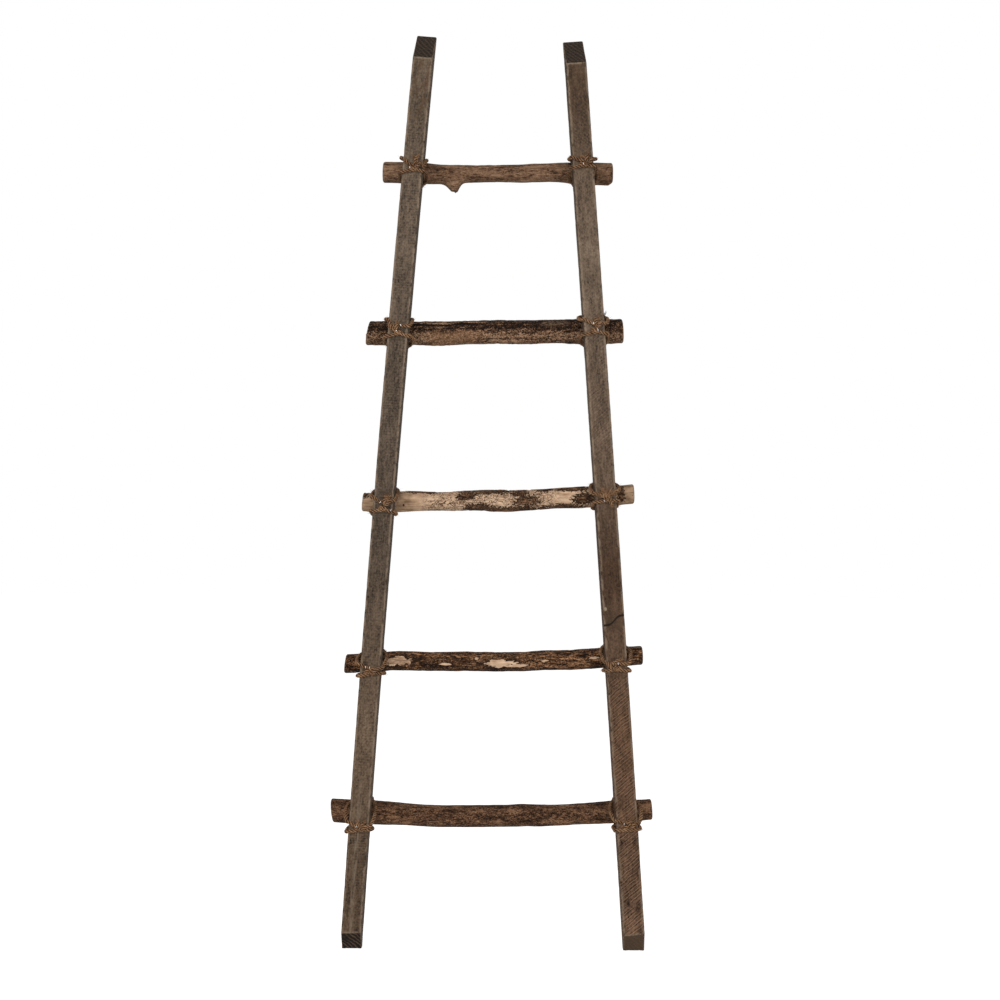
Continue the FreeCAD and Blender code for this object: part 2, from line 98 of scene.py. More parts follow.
def skin(name, tubes, marks):
    """One mesh of closed tubes: quads between a tube's rings, and a fan to the middle of each end ring.

    A tube is an array of rings of points. marks names the mesh's attributes, each a list with an array
    for every tube, which holds a number or a vector for each of its points.
    """
    points, quads, fans, values = [], [], [], {mark: [] for mark in marks}
    first = 0
    for index, rings in enumerate(tubes):
        count, around = rings.shape[:2]
        here = np.arange(around)
        after = (here + 1) % around
        start = first + np.arange(count - 1)[:, None] * around
        last = first + (count - 1) * around
        middles = first + count * around
        quads.append(np.stack([start + here, start + after, start + around + after,
                               start + around + here], -1).reshape(-1, 4))
        fans.append(np.stack([np.full(around, middles), first + after, first + here], -1))
        fans.append(np.stack([np.full(around, middles + 1), last + here, last + after], -1))
        points += [rings.reshape(-1, 3), rings[[0, -1]].mean(1)]
        for mark, arrays in marks.items():
            array = arrays[index].reshape(count, around, -1)
            values[mark] += [array.reshape(count * around, -1), array[[0, -1]].mean(1)]
        first = middles + 2
    points, quads, fans = (np.concatenate(arrays) for arrays in (points, quads, fans))
    a, b, c = (points[fans[:, k]] for k in range(3))
    volume = np.einsum("ij,ij->", a, np.cross(b, c))
    for k in (1, 2):
        a, b, c = points[quads[:, 0]], points[quads[:, k]], points[quads[:, k + 1]]
        volume += np.einsum("ij,ij->", a, np.cross(b, c))
    if volume < 0:
        quads, fans = quads[:, ::-1], fans[:, ::-1]
    mesh = bpy.data.meshes.new(name)
    mesh.vertices.add(len(points))
    mesh.vertices.foreach_set("co", points.astype(np.float32).ravel())
    mesh.loops.add(quads.size + fans.size)
    mesh.loops.foreach_set("vertex_index", np.concatenate([quads.ravel(), fans.ravel()]).astype(np.int32))
    sides = np.concatenate([np.full(len(quads), 4), np.full(len(fans), 3)])
    mesh.polygons.add(len(sides))
    mesh.polygons.foreach_set("loop_start", (np.cumsum(sides) - sides).astype(np.int32))
    mesh.polygons.foreach_set("use_smooth", np.ones(len(sides), bool))
    mesh.update(calc_edges=True)
    for mark, arrays in values.items():
        array = np.concatenate(arrays).astype(np.float32)
        vector = array.shape[1] == 3
        attribute = mesh.attributes.new(mark, "FLOAT_VECTOR" if vector else "FLOAT", "POINT")
        attribute.data.foreach_set("vector" if vector else "value", array.ravel())
    mesh.set_sharp_from_angle(angle=math.radians(50))
    piece = bpy.data.objects.new(name, mesh)
    bpy.context.scene.collection.objects.link(piece)
    return piece


def batten_section():
    """Points round a batten: quarter arcs for its arrises, joined by evenly split straight sides."""
    arcs = []
    for x, y, start in ((1, 0, 0), (-1, 0, 90), (-1, -1, 180), (1, -1, 270)):
        turn = np.radians(start + np.linspace(0, 90, 5))
        middle = np.array([x * (HALF_WIDTH - ARRIS), -ARRIS if y == 0 else ARRIS - RAIL_DEPTH])
        arcs.append(middle + ARRIS * np.stack([np.cos(turn), np.sin(turn)], -1))
    outline = []
    for arc, following in zip(arcs, arcs[1:] + arcs[:1]):
        run = following[0] - arc[-1]
        pieces = round(np.hypot(*run) / FACET)
        outline += [arc, arc[-1] + run * np.arange(1, pieces)[:, None] / pieces]
    return np.concatenate(outline)


# The knot in the right rail, in the unbent batten's own coordinates, with its crack and its chip.
KNOT_ACROSS, KNOT_HEIGHT, KNOT_SLANT, SWIRL_PITCH = -0.002, 0.552, 0.62, 0.0026
CRACK_SWAY, CRACK_WAVE, CRACK_DEPTH = 0.0022, 0.0042, 0.0022
CHIP_ACROSS, CHIP_HEIGHT = -0.0135, 0.5705


def knot_crack(unbent):
    """1 along a slanted, wavering line across the front, and 0 away from it."""
    across, height = unbent[..., 0], unbent[..., 2]
    line = KNOT_HEIGHT + KNOT_SLANT * across + CRACK_SWAY * np.sin(across / CRACK_WAVE)
    return 1 - smooth(np.abs(height - line), 0.0006, 0.0022)


def make_rail(side):
    """A batten: its section carried from one slanted end to the other, with worn arrises.

    Every point lies at a share of the way between the foot's and the top's slanted plane. Near an end
    the section draws in by a fraction of a millimetre, which rounds the sawn edge, and then rings of
    the same section, each smaller than the last, close the end.
    """
    height = RAIL_HEIGHTS[side]
    section = batten_section()
    middle = np.array([0, -RAIL_DEPTH / 2])
    half = np.array([HALF_WIDTH, RAIL_DEPTH / 2])
    edge = np.array([0, 0.0004, 0.001, 0.002, 0.0035]) / height
    draw_in = np.array([0.0007, 0.00025, 0.00005, 0, 0])
    closing = np.array([0.06, 0.25, 0.45, 0.65, 0.82, 0.93])
    foot, top = np.zeros(len(closing)), np.ones(len(closing))
    wall = np.linspace(edge[-1], 1 - edge[-1], RAIL_RINGS)[1:-1]
    shares = np.concatenate([foot, edge, wall, 1 - edge[::-1], top])
    draws = np.concatenate([foot + draw_in[0], draw_in, 0 * wall, draw_in[::-1], foot + draw_in[0]])
    scales = np.concatenate([closing, np.ones(len(shares) - 2 * len(closing)), closing[::-1]])[:, None, None]
    flat = middle + (section - middle) * scales * (1 - draws[:, None, None] / half)
    end = np.broadcast_to((scales < 1)[..., 0], flat.shape[:2]).astype(float)
    x, y = flat[..., 0], flat[..., 1]
    low = np.maximum(0, -SOLE_DEPTH - y) * BEVEL_RISE * (1 + FOOT_SKEW[side] * x / HALF_WIDTH)
    high = height + y * BEVEL_RISE + LEAN * (SIGNS[side] * x - HALF_WIDTH)
    z = low + shares[:, None] * (high - low)
    corner = np.hypot(HALF_WIDTH - np.abs(x), np.minimum(-y, y + RAIL_DEPTH))
    near_end = np.minimum(shares, 1 - shares)[:, None] * height
    worn_and_highlit = np.maximum(1 - smooth(corner, *ARRIS_WEAR_AND_HIGHLIGHT), (1 - smooth(near_end, *END_WEAR_AND_HIGHLIGHT)) * (1 - end))
    x = x * batten_side(side, np.sign(x), z) / HALF_WIDTH
    unbent = np.stack([x, y, z], -1)
    nicks = smooth(lumps(unbent, 0.009, 3), 0.35, 0.9) * worn_and_highlit
    inward = WAVINESS * lumps(unbent, (0.02, 0.02, 0.06), 5) + NICK_DEPTH * nicks
    to_middle = middle - flat
    step = to_middle / np.maximum(np.linalg.norm(to_middle, axis=-1, keepdims=True), 1e-6)
    x = x + step[..., 0] * inward * (1 - end)
    y = y + step[..., 1] * inward * (1 - end)
    if side == "right":
        y = y + CRACK_DEPTH * knot_crack(unbent) * (y < -0.75 * RAIL_DEPTH)
    solid = np.stack([rail_centre(side, z) + x, y, z], -1)
    return skin(f"batten_{side}", [solid], {"unbent": [unbent], "worn_and_highlit": [worn_and_highlit], "end": [end]})


# Every noise starts off the middle of a piece, where its waves of all sizes would line up in a seam.
NOISE_START = (0.37, 0.61, 0.83)


class Signal:
    """A socket in a material. Sums and products of signals add Math nodes, and node() adds any other."""

    def __init__(self, tree, socket=None):
        self.tree = tree
        self.socket = socket

    def node(self, kind, settings, inputs, output=0):
        """Adds a node: its settings first, a ramp's stops among them, then its sockets' values."""
        made = self.tree.nodes.new("ShaderNode" + kind)
        for index, (position, colour) in enumerate(settings.pop("stops", ())):
            elements = made.color_ramp.elements
            stop = elements[index] if index < 2 else elements.new(position)
            stop.position = position
            stop.color = (*colour, 1)
        for setting, value in settings.items():
            setattr(made, setting, value)
        for key, value in inputs.items():
            socket = made.inputs[key]
            if isinstance(value, Signal):
                self.tree.links.new(value.socket, socket)
            else:
                socket.default_value = (*value, 1) if socket.type == "RGBA" else value
        return Signal(self.tree, made.outputs[output] if len(made.outputs) else None)

    def math(self, operation, *others):
        """One Math node on this signal and the others."""
        return self.node("Math", {"operation": operation}, dict(enumerate((self, *others))))

    def __add__(self, other):
        return self.math("ADD", other)

    def __sub__(self, other):
        return self.math("SUBTRACT", other)

    def __rsub__(self, other):
        return self.math("MULTIPLY_ADD", -1.0, other)

    def __mul__(self, other):
        return self.math("MULTIPLY", other)

    def __truediv__(self, other):
        return self.math("DIVIDE", other)

    def __abs__(self):
        return self.math("ABSOLUTE")

    __radd__ = __add__
    __rmul__ = __mul__

    def wave(self):
        """From 0 to 1 and back, once for every whole number that the signal passes."""
        return (self * (2 * math.pi)).math("SINE") * 0.5 + 0.5

    def rise(self, low, high):
        """0 below low and 1 above high, the other way round where low is the higher."""
        return self.node("MapRange", {"interpolation_type": "SMOOTHSTEP"}, {0: self, 1: low, 2: high})

    def blend(self, under, over):
        """The colour under, replaced by the colour over as far as this signal goes."""
        return self.node("Mix", {"data_type": "RGBA"}, {0: self, 6: under, 7: over}, 2)

    def tint(self, colour):
        """A colour made lighter or darker by this signal."""
        return self.node("VectorMath", {"operation": "SCALE"}, {0: colour, "Scale": self})

    def noise(self, waves, detail=3.0, roughness=0.55, distortion=0.0):
        """Noise on this place, with so many waves in a metre along X, Y and Z."""
        place = self.node("VectorMath", {"operation": "MULTIPLY_ADD"},
                          {0: self, 1: waves, 2: NOISE_START})
        return self.node("TexNoise", {}, {"Vector": place, "Scale": 1.0, "Detail": detail,
                                          "Roughness": roughness, "Distortion": distortion})

    def ramp(self, stops):
        """The colour at this signal's place between the stops."""
        return self.node("ValToRGB", {"stops": stops}, {0: self})

    def axis(self, index):
        """X, Y or Z of a place."""
        return self.node("SeparateXYZ", {}, {0: self}, index)


def new_look(name):
    """A material with an empty node tree, and the signal that its nodes start from."""
    look = bpy.data.materials.new(name)
    look.use_nodes = True
    look.node_tree.nodes.clear()
    return look, Signal(look.node_tree)


def object_place(start):
    """The place on the piece, in metres."""
    return start.node("TexCoord", {}, {}, "Object")


def read_mark(start, mark, output="Fac"):
    """An attribute of the mesh: Fac gives a number, and Vector a vector."""
    return start.node("Attribute", {"attribute_name": mark}, {}, output)


def finish_look(colour, roughness, relief, height, specular, metallic=0.0):
    """Ends a material. relief is the bump's depth in metres, and height the signal that shapes it."""
    bump = colour.node("Bump", {}, {"Strength": 1.0, "Distance": relief, "Height": height})
    shader = colour.node("BsdfPrincipled", {}, {
        "Base Color": colour, "Roughness": roughness, "Normal": bump,
        "Specular IOR Level": specular, "Metallic": metallic})
    shader.node("OutputMaterial", {}, {"Surface": shader})


# Colours of the stained face from the foot (0) to the top (1), and how strongly it is mottled.
RAIL_TONES = {
    "left": [(0.0, (0.082, 0.053, 0.033)), (0.24, (0.102, 0.069, 0.045)), (0.45, (0.067, 0.048, 0.034)),
             (0.76, (0.094, 0.068, 0.048)), (0.94, (0.088, 0.064, 0.044))],
    "right": [(0.0, (0.130, 0.075, 0.046)), (0.24, (0.096, 0.053, 0.030)), (0.34, (0.088, 0.053, 0.033)),
              (0.42, (0.052, 0.029, 0.017)), (0.52, (0.098, 0.065, 0.044)), (0.76, (0.120, 0.086, 0.060)),
              (0.94, (0.063, 0.039, 0.024))],
}
MOTTLING = {"left": 2.7, "right": 2.2}

# Metres from one saw mark to the next: level marks and threads of grain on the left batten, two slanting
# sets and one that crosses them on the right. Then the growth rings and scratches of the sawn ends.
LEVEL_PITCH, THREAD_PITCH = 0.0043, 0.0034
SLANT_PITCH, FINE_PITCH, CROSSING_PITCH = 0.0058, 0.0037, 0.0060
RING_PITCH, SCRATCH_PITCH = 0.0036, 0.0088


def saw_marks(side, place, waver, patchy):
    """Waves across the batten: level and faint on the left one, slanting and bold on the right one's foot."""
    across, depth, height = (place.axis(index) for index in range(3))
    if side == "left":
        level = (height + across * 0.05 + depth * 0.1 + waver * 0.002) / LEVEL_PITCH
        threads = (across + waver * 0.0020) / THREAD_PITCH
        return ((level.wave().rise(0.1, 0.95) - 0.5) * (patchy.rise(0.40, 0.62) * 0.16 + 0.05)
                + (threads.wave() - 0.5) * (patchy.rise(0.6, 0.4) * 0.07 + 0.02))
    slanting = height - across * 0.80 + depth * 0.3 + waver * 0.006
    coarse = (slanting / SLANT_PITCH).wave().rise(0.45, 1.0)
    fine = (slanting / FINE_PITCH).wave().rise(0.50, 1.0)
    saw = (coarse * 0.62 + fine * 0.46) * place.noise((70, 70, 50), 3).rise(0.26, 0.54)
    low_down = height.rise(0.50, 0.42)
    halfway = height.rise(0.76, 0.82) * height.rise(1.12, 1.06) * 0.55
    marks = (saw - 0.30) * (low_down * 1.15 + halfway * patchy.rise(0.35, 0.6) * 0.7 + 0.05)
    crossing = ((height + across * 0.85 + waver * 0.004) / CROSSING_PITCH).wave().rise(0.2, 1.0)
    near_top = height.rise(1.22, 1.32) * patchy.rise(0.40, 0.58)
    return marks + (crossing - 0.5) * near_top * 0.26 + (saw - 0.5) * near_top * 0.16


def end_grain(side, place, waver, patchy, speckle):
    """Growth rings round a pith that lies off the batten, and the saw's scratches slanting across them."""
    across, depth, height = (place.axis(index) for index in range(3))
    ring_x, ring_y = across - 0.012, depth - 0.030
    rings = ((ring_x * ring_x + ring_y * ring_y).math("SQRT") / RING_PITCH + waver).wave()
    scratches = ((height + across * 1.1 + waver * 0.012) / SCRATCH_PITCH).wave().rise(0.45, 1.0)
    scratches = scratches * patchy.rise(0.30, 0.50)
    at_foot = height.rise(0.2, 0.1)
    shade = 0.48 - at_foot * 0.47 + rings * 0.35 + speckle
    if side == "left":
        shade = shade + scratches * (at_foot * 1.6 + 0.7)
    else:
        shade = shade + scratches * (0.7 - at_foot * 0.2) + at_foot * 1.85
    return shade.tint(at_foot.blend((0.036, 0.025, 0.018), (0.039, 0.0245, 0.0148)))


def sawn_wood(side):
    """Stained sawn wood: grain along the batten, saw marks across it, arrises paled partly by wear and partly
    by a painted highlight, dark ends.
    """
    look, start = new_look(f"sawn_wood_{side}")
    place = read_mark(start, "unbent", "Vector")
    worn_and_highlit, end = read_mark(start, "worn_and_highlit"), read_mark(start, "end")
    across, depth, height = (place.axis(index) for index in range(3))
    grain = place.noise((430, 430, 42), 4, 0.6, 0.4)
    mottle = place.noise((380, 380, 300), 3, 0.6)
    pores = place.noise((1500, 1500, 900), 2)
    clouds = place.noise((55, 55, 16), 3)
    waver = place.noise((60, 60, 40), 2)
    patchy = place.noise((34, 34, 13), 2)
    marks = saw_marks(side, place, waver, patchy)
    shade = (1.0 + (grain - 0.5) * 1.3 + (mottle - 0.5) * MOTTLING[side] + (clouds - 0.5) * 1.6
             + (pores - 0.5) * 0.8)
    colour = (shade + marks).tint((height / RAIL_HEIGHTS[side]).ramp(RAIL_TONES[side]))
    if side == "left":
        # a pale streak down the middle of the foot, and a brown stain at the top
        streak = abs(across + 0.0015).rise(0.0055, 0.0010) * height.rise(0.34, 0.20) * grain.rise(0.35, 0.6)
        colour = (streak * 0.55).blend(colour, (0.210, 0.158, 0.115))
        stain = place.noise((120, 120, 30), 3).rise(0.46, 0.62) * height.rise(1.34, 1.41)
        colour = (stain * 0.60).blend(colour, (0.082, 0.042, 0.022))
    # the arrises and sawn edges are paled, partly wear and partly a painted highlight
    rub_and_highlight = worn_and_highlit * place.noise((150, 150, 60), 3).rise(0.36, 0.56)
    colour = (rub_and_highlight * 0.66).blend(colour, (0.245, 0.180, 0.127))
    dirt = worn_and_highlit * place.noise((260, 260, 110), 2).rise(0.58, 0.68)
    colour = (dirt * 0.75).blend(colour, (0.034, 0.024, 0.017))
    speckle = (mottle - 0.5) * 2.8 + (pores - 0.5) * 1.2
    colour = end.rise(0.1, 0.6).blend(colour, end_grain(side, place, waver, patchy, speckle))
    relief = marks * 0.7 + grain * 0.5 + mottle * 0.5 + pores * 0.3
    if side == "right":
        colour, crack = knot_marks(place, across, depth, height, colour)
        relief = relief - crack * 0.8
    finish_look(colour, 0.75 + mottle * 0.25, 0.0007, relief, 0.1)
    return look


def knot_marks(place, across, depth, height, colour):
    """The knot: swirled dark grain round it, its crack filled with painted shade, and a pale chip beside it.
    """
    front = depth.rise(-0.036, -0.042)
    wobble = place.noise((150, 150, 150), 3) - 0.5
    line = height - across * KNOT_SLANT - KNOT_HEIGHT - (across / CRACK_WAVE).math("SINE") * CRACK_SWAY
    crack = abs(line + wobble * 0.002).rise(0.0026, 0.0006) * front
    x, z = across - KNOT_ACROSS, (height - KNOT_HEIGHT) * 0.8
    reach = (x * x + z * z).math("SQRT") + wobble * 0.008
    around = reach.rise(0.021, 0.006) * front
    colour = (around * (0.35 + (reach / SWIRL_PITCH).wave() * 0.4)).blend(colour, (0.040, 0.025, 0.016))
    chip_x, chip_z = (across - CHIP_ACROSS) * 1.4, height - CHIP_HEIGHT
    chip = (chip_x * chip_x + chip_z * chip_z).math("SQRT").rise(0.0042, 0.002) * front
    colour = (chip * 0.8).blend(colour, (0.28, 0.215, 0.155))
    # painted shade: the crack is coloured near black
    return (crack * 0.93).blend(colour, (0.010, 0.007, 0.005)), crack


for side in SIGNS:
    batten = make_rail(side)
    batten.data.materials.append(sawn_wood(side))
    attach(batten, "root")
    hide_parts(f"rail_{side}")

# --- Rungs ----------------------------------------------------------------------------------------
# Five natural branches behind the rails, sawn to length, with their bark on. The third is mostly peeled
# and marked by insects, and the fourth has a few peeled patches. Each is cut flat where it meets a rail.

# Heights of the axis at the left end, the middle and the right end, then how far the ends stand out past
# the rails, then the thickness at the left rail, the left waist, the middle, the right waist and the right
# rail.
RUNGS = {
    1: ((1.2986, 1.2986, 1.2986), (0.0380, 0.0370), (0.0360, 0.0310, 0.0295, 0.0315, 0.0364)),
    2: ((1.0275, 1.0305, 1.0336), (0.0426, 0.0365), (0.0406, 0.0406, 0.0404, 0.0402, 0.0424)),
    3: ((0.7400, 0.7470, 0.7590), (0.0245, 0.0357), (0.0366, 0.0318, 0.0366, 0.0354, 0.0364)),
    4: ((0.4700, 0.4760, 0.4875), (0.0329, 0.0319), (0.0312, 0.0316, 0.0321, 0.0332, 0.0342)),
    5: ((0.2230, 0.2150, 0.2280), (0.0376, 0.0314), (0.0402, 0.0364, 0.0374, 0.0358, 0.0380)),
}
SEAT_FLAT, SEAT_MARGIN, SEAT_GAP = 0.0008, 0.003, 0.0002
HEAD_RADIUS, HEAD_HEIGHT, HEAD_RECESS, BORE_CLEAR = 0.0042, 0.0026, 0.0008, 0.0009
RUNG_RINGS, RUNG_POINTS, RUNG_EDGE = 470, 132, 0.0032


def rung_crossing(number, side):
    """X where a rung's axis crosses a rail's centre line."""
    heights = RUNGS[number][0]
    return rail_centre(side, heights[0 if side == "left" else 2])


def rung_ends(number):
    """X of a rung's two ends."""
    overhangs = RUNGS[number][1]
    return [rung_crossing(number, side) + sign * (HALF_WIDTH + overhang)
            for (side, sign), overhang in zip(SIGNS.items(), overhangs)]


def rung_height(number, x):
    """Z of a rung's axis: the parabola through its ends and the middle of the ladder."""
    (left, right), (low, middle, high) = rung_ends(number), RUNGS[number][0]
    return (low * x * (x - right) / (left * (left - right))
            + middle * (x - left) * (x - right) / (left * right)
            + high * x * (x - left) / (right * (right - left)))


def eased(x, places, values):
    """The values at some places, with an S-shaped change from each to the next."""
    places, values = np.array(places), np.array(values)
    index = np.clip(np.searchsorted(places, x) - 1, 0, len(places) - 2)
    share = smooth(x, places[index], places[index + 1])
    return values[index] * (1 - share) + values[index + 1] * share


# Where the branches stray from those smooth lines: X, how much higher the axis is there and how much
# thicker the branch, all in millimetres.
MM = 0.001
STRAYING = {
    1: [(-185, -0.5, -2), (-141, -1.5, 0), (-88, -3.2, -1), (-38, -2.7, -2.2), (33, -1.6, -1),
        (63, 0, -1), (103, 1, -1), (137, 0.5, 0), (190, 0, 1)],
    2: [(-212, -0.5, -1), (-163, -0.5, 0), (-100, -1.8, -0.5), (-45, 0, -1.5), (0, 0, -0.5),
        (118, 0.5, -0.5), (159, 0, 0), (208, 0, -1.5)],
    3: [(-222, 2, -4), (-205, 1.5, 0.5), (-141, 2.3, 1.5), (-100, 1.5, 2.5), (-61, 1, 1.5),
        (-35, 1.5, -1), (0, 0, 0), (28, -1.8, -0.5), (60, -1.7, -1), (98, -0.7, -0.5), (180, 0, 0),
        (222, 0.5, -1.5)],
    4: [(-250, 1, 1), (-205, 2.5, 0), (-171, 4.8, 0.5), (-100, 3, 0), (-60, 1.5, 1), (-20, 0.5, 0.5),
        (15, -0.8, 0.7), (50, -1.4, 0.8), (85, -0.2, 0.4), (130, -1, 0.3), (200, 0, 0), (240, 1, -2)],
    5: [(-268, 0, -1.5), (-221, 0.5, 0), (-161, 1.1, 0.5), (-91, -0.3, 0), (-56, 0.3, -1),
        (18, 1, -1.5), (50, 1.9, 0), (85, 0, 0.5), (150, 0.3, -1.5), (219, 0.5, 0), (262, 1.6, -3)],
}


def branch_height(number, x):
    """Z of a branch's axis, with its wavering."""
    places, rises, _ = zip(*STRAYING[number])
    return rung_height(number, x) + eased(x / MM, places, rises) * MM


def branch_girth(number, x):
    """Thickness of a branch: the measured values from rail to rail, and its wavering."""
    left, right = rung_crossing(number, "left"), rung_crossing(number, "right")
    places, _, swellings = zip(*STRAYING[number])
    return (eased(x, (left, left / 2, 0, right / 2, right), RUNGS[number][2])
            + eased(x / MM, places, swellings) * MM)


# Peeled patches of the fourth rung, and patches of bark on the third: X of the middle, height above the
# axis, and half sizes.
PEELED_FOURTH = [
    (-0.163, 0.001, 0.025, 0.0080), (-0.084, -0.0030, 0.012, 0.0026), (0.008, -0.0020, 0.026, 0.0072),
    (0.040, -0.0050, 0.015, 0.0026), (-0.031, 0.0072, 0.004, 0.0025), (0.083, 0.001, 0.007, 0.0020),
    (0.165, 0.003, 0.009, 0.0020)]
BARK_THIRD = [
    (-0.049, 0.0085, 0.016, 0.0075), (-0.010, 0.0155, 0.040, 0.0040), (-0.125, 0.0160, 0.024, 0.0025),
    (-0.030, -0.0120, 0.022, 0.0065), (0.030, -0.0155, 0.060, 0.0048), (0.052, -0.0020, 0.019, 0.0095),
    (0.040, 0.0120, 0.012, 0.0060), (0.080, 0.0160, 0.016, 0.0022), (0.130, 0.0150, 0.030, 0.0040),
    (0.146, -0.0030, 0.019, 0.0105), (0.110, -0.0150, 0.036, 0.0055), (0.208, 0.0010, 0.006, 0.0140),
    (-0.225, 0.0120, 0.010, 0.0040)]
# How far the peeled wood lies below the bark.
PEEL_DEPTH = 0.0008

# The broken side branch under the first rung: its place, its length and its half widths to the left, to
# the right and round the branch. Then the corner torn off that rung's right end.
STUB_X, STUB_LENGTH, STUB_LEFT, STUB_RIGHT, STUB_ROUND = -0.0740, 0.0148, 0.0088, 0.0062, 0.0062
TORN_DEPTH, TORN_LENGTH = 0.004, 0.008


def patches(places, x, up):
    """How far points lie inside any of some ellipses: 1 in a middle, 0 on an edge, -1 well outside."""
    level = np.full(x.shape, -1.0)
    for middle, height, half_x, half_up in places:
        level = np.maximum(level, 1 - np.hypot((x - middle) / half_x, (up - height) / half_up))
    return level


def rung_rings(number):
    """Each ring's X, how far its radius draws in, how far it has shrunk, and 1 where it is the sawn face."""
    left, right = rung_ends(number)
    bends = RUNG_EDGE * (1 - np.cos(np.linspace(0, math.pi / 2, 7)))
    wall = np.linspace(left + RUNG_EDGE, right - RUNG_EDGE, RUNG_RINGS)
    closing = np.array([0.05, 0.18, 0.32, 0.46, 0.60, 0.73, 0.85, 0.94, 1.0])
    face = np.ones(len(closing))
    x = np.concatenate([left * face, left + bends[1:-1], wall, right - bends[-2:0:-1], right * face])
    past = np.maximum(0, np.maximum(left + RUNG_EDGE - x, x - right + RUNG_EDGE))
    draw = RUNG_EDGE - np.sqrt(np.maximum(0, RUNG_EDGE**2 - past**2))
    between = np.ones(len(x) - 2 * len(closing))
    scale = np.concatenate([closing, between, closing[::-1]])
    cut = np.concatenate([face, 0 * between, face])
    return (row[:, None] for row in (x, draw, scale, cut))


def make_rung(number, lump, ridge, ridge_size, tilts):
    """A branch: circles carried along its axis, pushed in and out by lumps and by ridges of bark.

    The circle's angle is 0 in front and a quarter turn on top. Near an end its radius draws in along a
    quarter circle, and rings that shrink to the middle close the sawn face, which may be tilted.
    """
    left, right = rung_ends(number)
    x, draw, scale, cut = rung_rings(number)
    turn = np.linspace(0, 2 * math.pi, RUNG_POINTS, endpoint=False)[None, :]
    x = x + 0 * turn
    girth = branch_girth(number, x)
    forward, upward = -np.cos(turn), np.sin(turn)
    up = upward * girth / 2
    place = np.stack([x, forward * girth / 2, up], -1)
    seed = 10 * number
    ridges = 0.6 * lumps(place, ridge_size, seed + 1)
    ridges = ridges + 0.4 * lumps(place, np.array(ridge_size) * 0.42, seed + 2)
    splits = smooth(lumps(place, (0.026, 0.0035, 0.0035), seed + 3), 0.45, 0.8)
    ragged = 0.40 * lumps(place, (0.010, 0.0045, 0.0045), 2)
    ragged = ragged + 0.25 * lumps(place, (0.004, 0.0022, 0.0022), 9)
    behind = smooth(forward, -0.1, 0.5)
    if number == 3:
        bare = -patches(BARK_THIRD, x, up)
        bare = bare * (1 - behind) + 1.4 * behind * lumps(place, (0.045, 0.013, 0.013), 77)
    elif number == 4:
        bare = patches(PEELED_FOURTH, x, up)
        bare = bare * (1 - behind) + behind * (1.6 * lumps(place, (0.04, 0.012, 0.012), 78) - 1)
    else:
        bare = -1 + 0 * x
    peeled = smooth(bare + ragged, 0.0, 0.25)
    radius = girth / 2 + lump * lumps(place, (0.050, 0.022, 0.022), seed) - draw
    radius = radius + ridge * (ridges - 1.3 * splits) * (1 - 0.8 * peeled) - PEEL_DEPTH * peeled
    if number == 1:
        down = (turn - 1.5 * math.pi) * girth / 2
        flank = np.where(x < STUB_X, STUB_LEFT, STUB_RIGHT)
        apart = (x - STUB_X) ** 2 / flank**2 + down**2 / STUB_ROUND**2
        snag = np.minimum(1.25 * np.exp(-apart / 2), 1) * (1 + 14 * np.clip(x - STUB_X, -0.008, 0.006))
        broken = smooth(snag, 0.62, 0.95) * 0.0020 * lumps(place, (0.0028, 0.0028, 0.0028), 43)
        radius = radius + STUB_LENGTH * snag + broken
        torn = smooth(x, right - TORN_LENGTH, right) * smooth(upward, 0.35, -0.5)
        radius = radius - TORN_DEPTH * torn
    radius = radius * scale + 0.00025 * cut * lumps(place, 0.002, seed + 4)
    for sign, tilt, end in ((-1, tilts[0], left), (1, tilts[1], right)):
        lean_in = (abs(tilt) + tilt * upward) / 2
        x = x - sign * lean_in * smooth(sign * x, sign * end - 0.02, sign * end)
    y = girth / 2 - SEAT_FLAT + forward * radius
    z = branch_height(number, x) + upward * radius
    for side in SIGNS:
        cross = rung_crossing(number, side)
        beside = smooth(np.abs(x - cross), HALF_WIDTH + 2 * SEAT_MARGIN, HALF_WIDTH + SEAT_MARGIN)
        y = np.where((beside > 0) & (y < SEAT_GAP), y * (1 - beside) + SEAT_GAP * beside, y)
        # the screw's head lies at the bottom of a bored hole in the back
        from_screw = np.hypot(x - cross, z - rung_height(number, cross))
        thinner = min(RUNGS[number][2][0], RUNGS[number][2][4])
        floor = thinner - SEAT_FLAT - HEAD_HEIGHT - HEAD_RECESS
        bored = smooth(from_screw, HEAD_RADIUS + BORE_CLEAR, HEAD_RADIUS) * (forward > 0.5)
        y = np.where(y > floor, y * (1 - bored) + floor * bored, y)
    rim = np.maximum(cut, smooth(draw, 0.0002, 0.0012))
    # where the bark's surface is pushed in between its ridges, for painted shade there
    hollow_shade = smooth(splits - ridges, 0.1, 1.1)
    marks = {"bare": bare, "cut": cut, "rim": rim, "up": upward, "hollow_shade": hollow_shade}
    marks = {mark: [value + 0 * x] for mark, value in marks.items()}
    return skin(f"branch_{number}", [np.stack([x, y, z], -1)], marks)


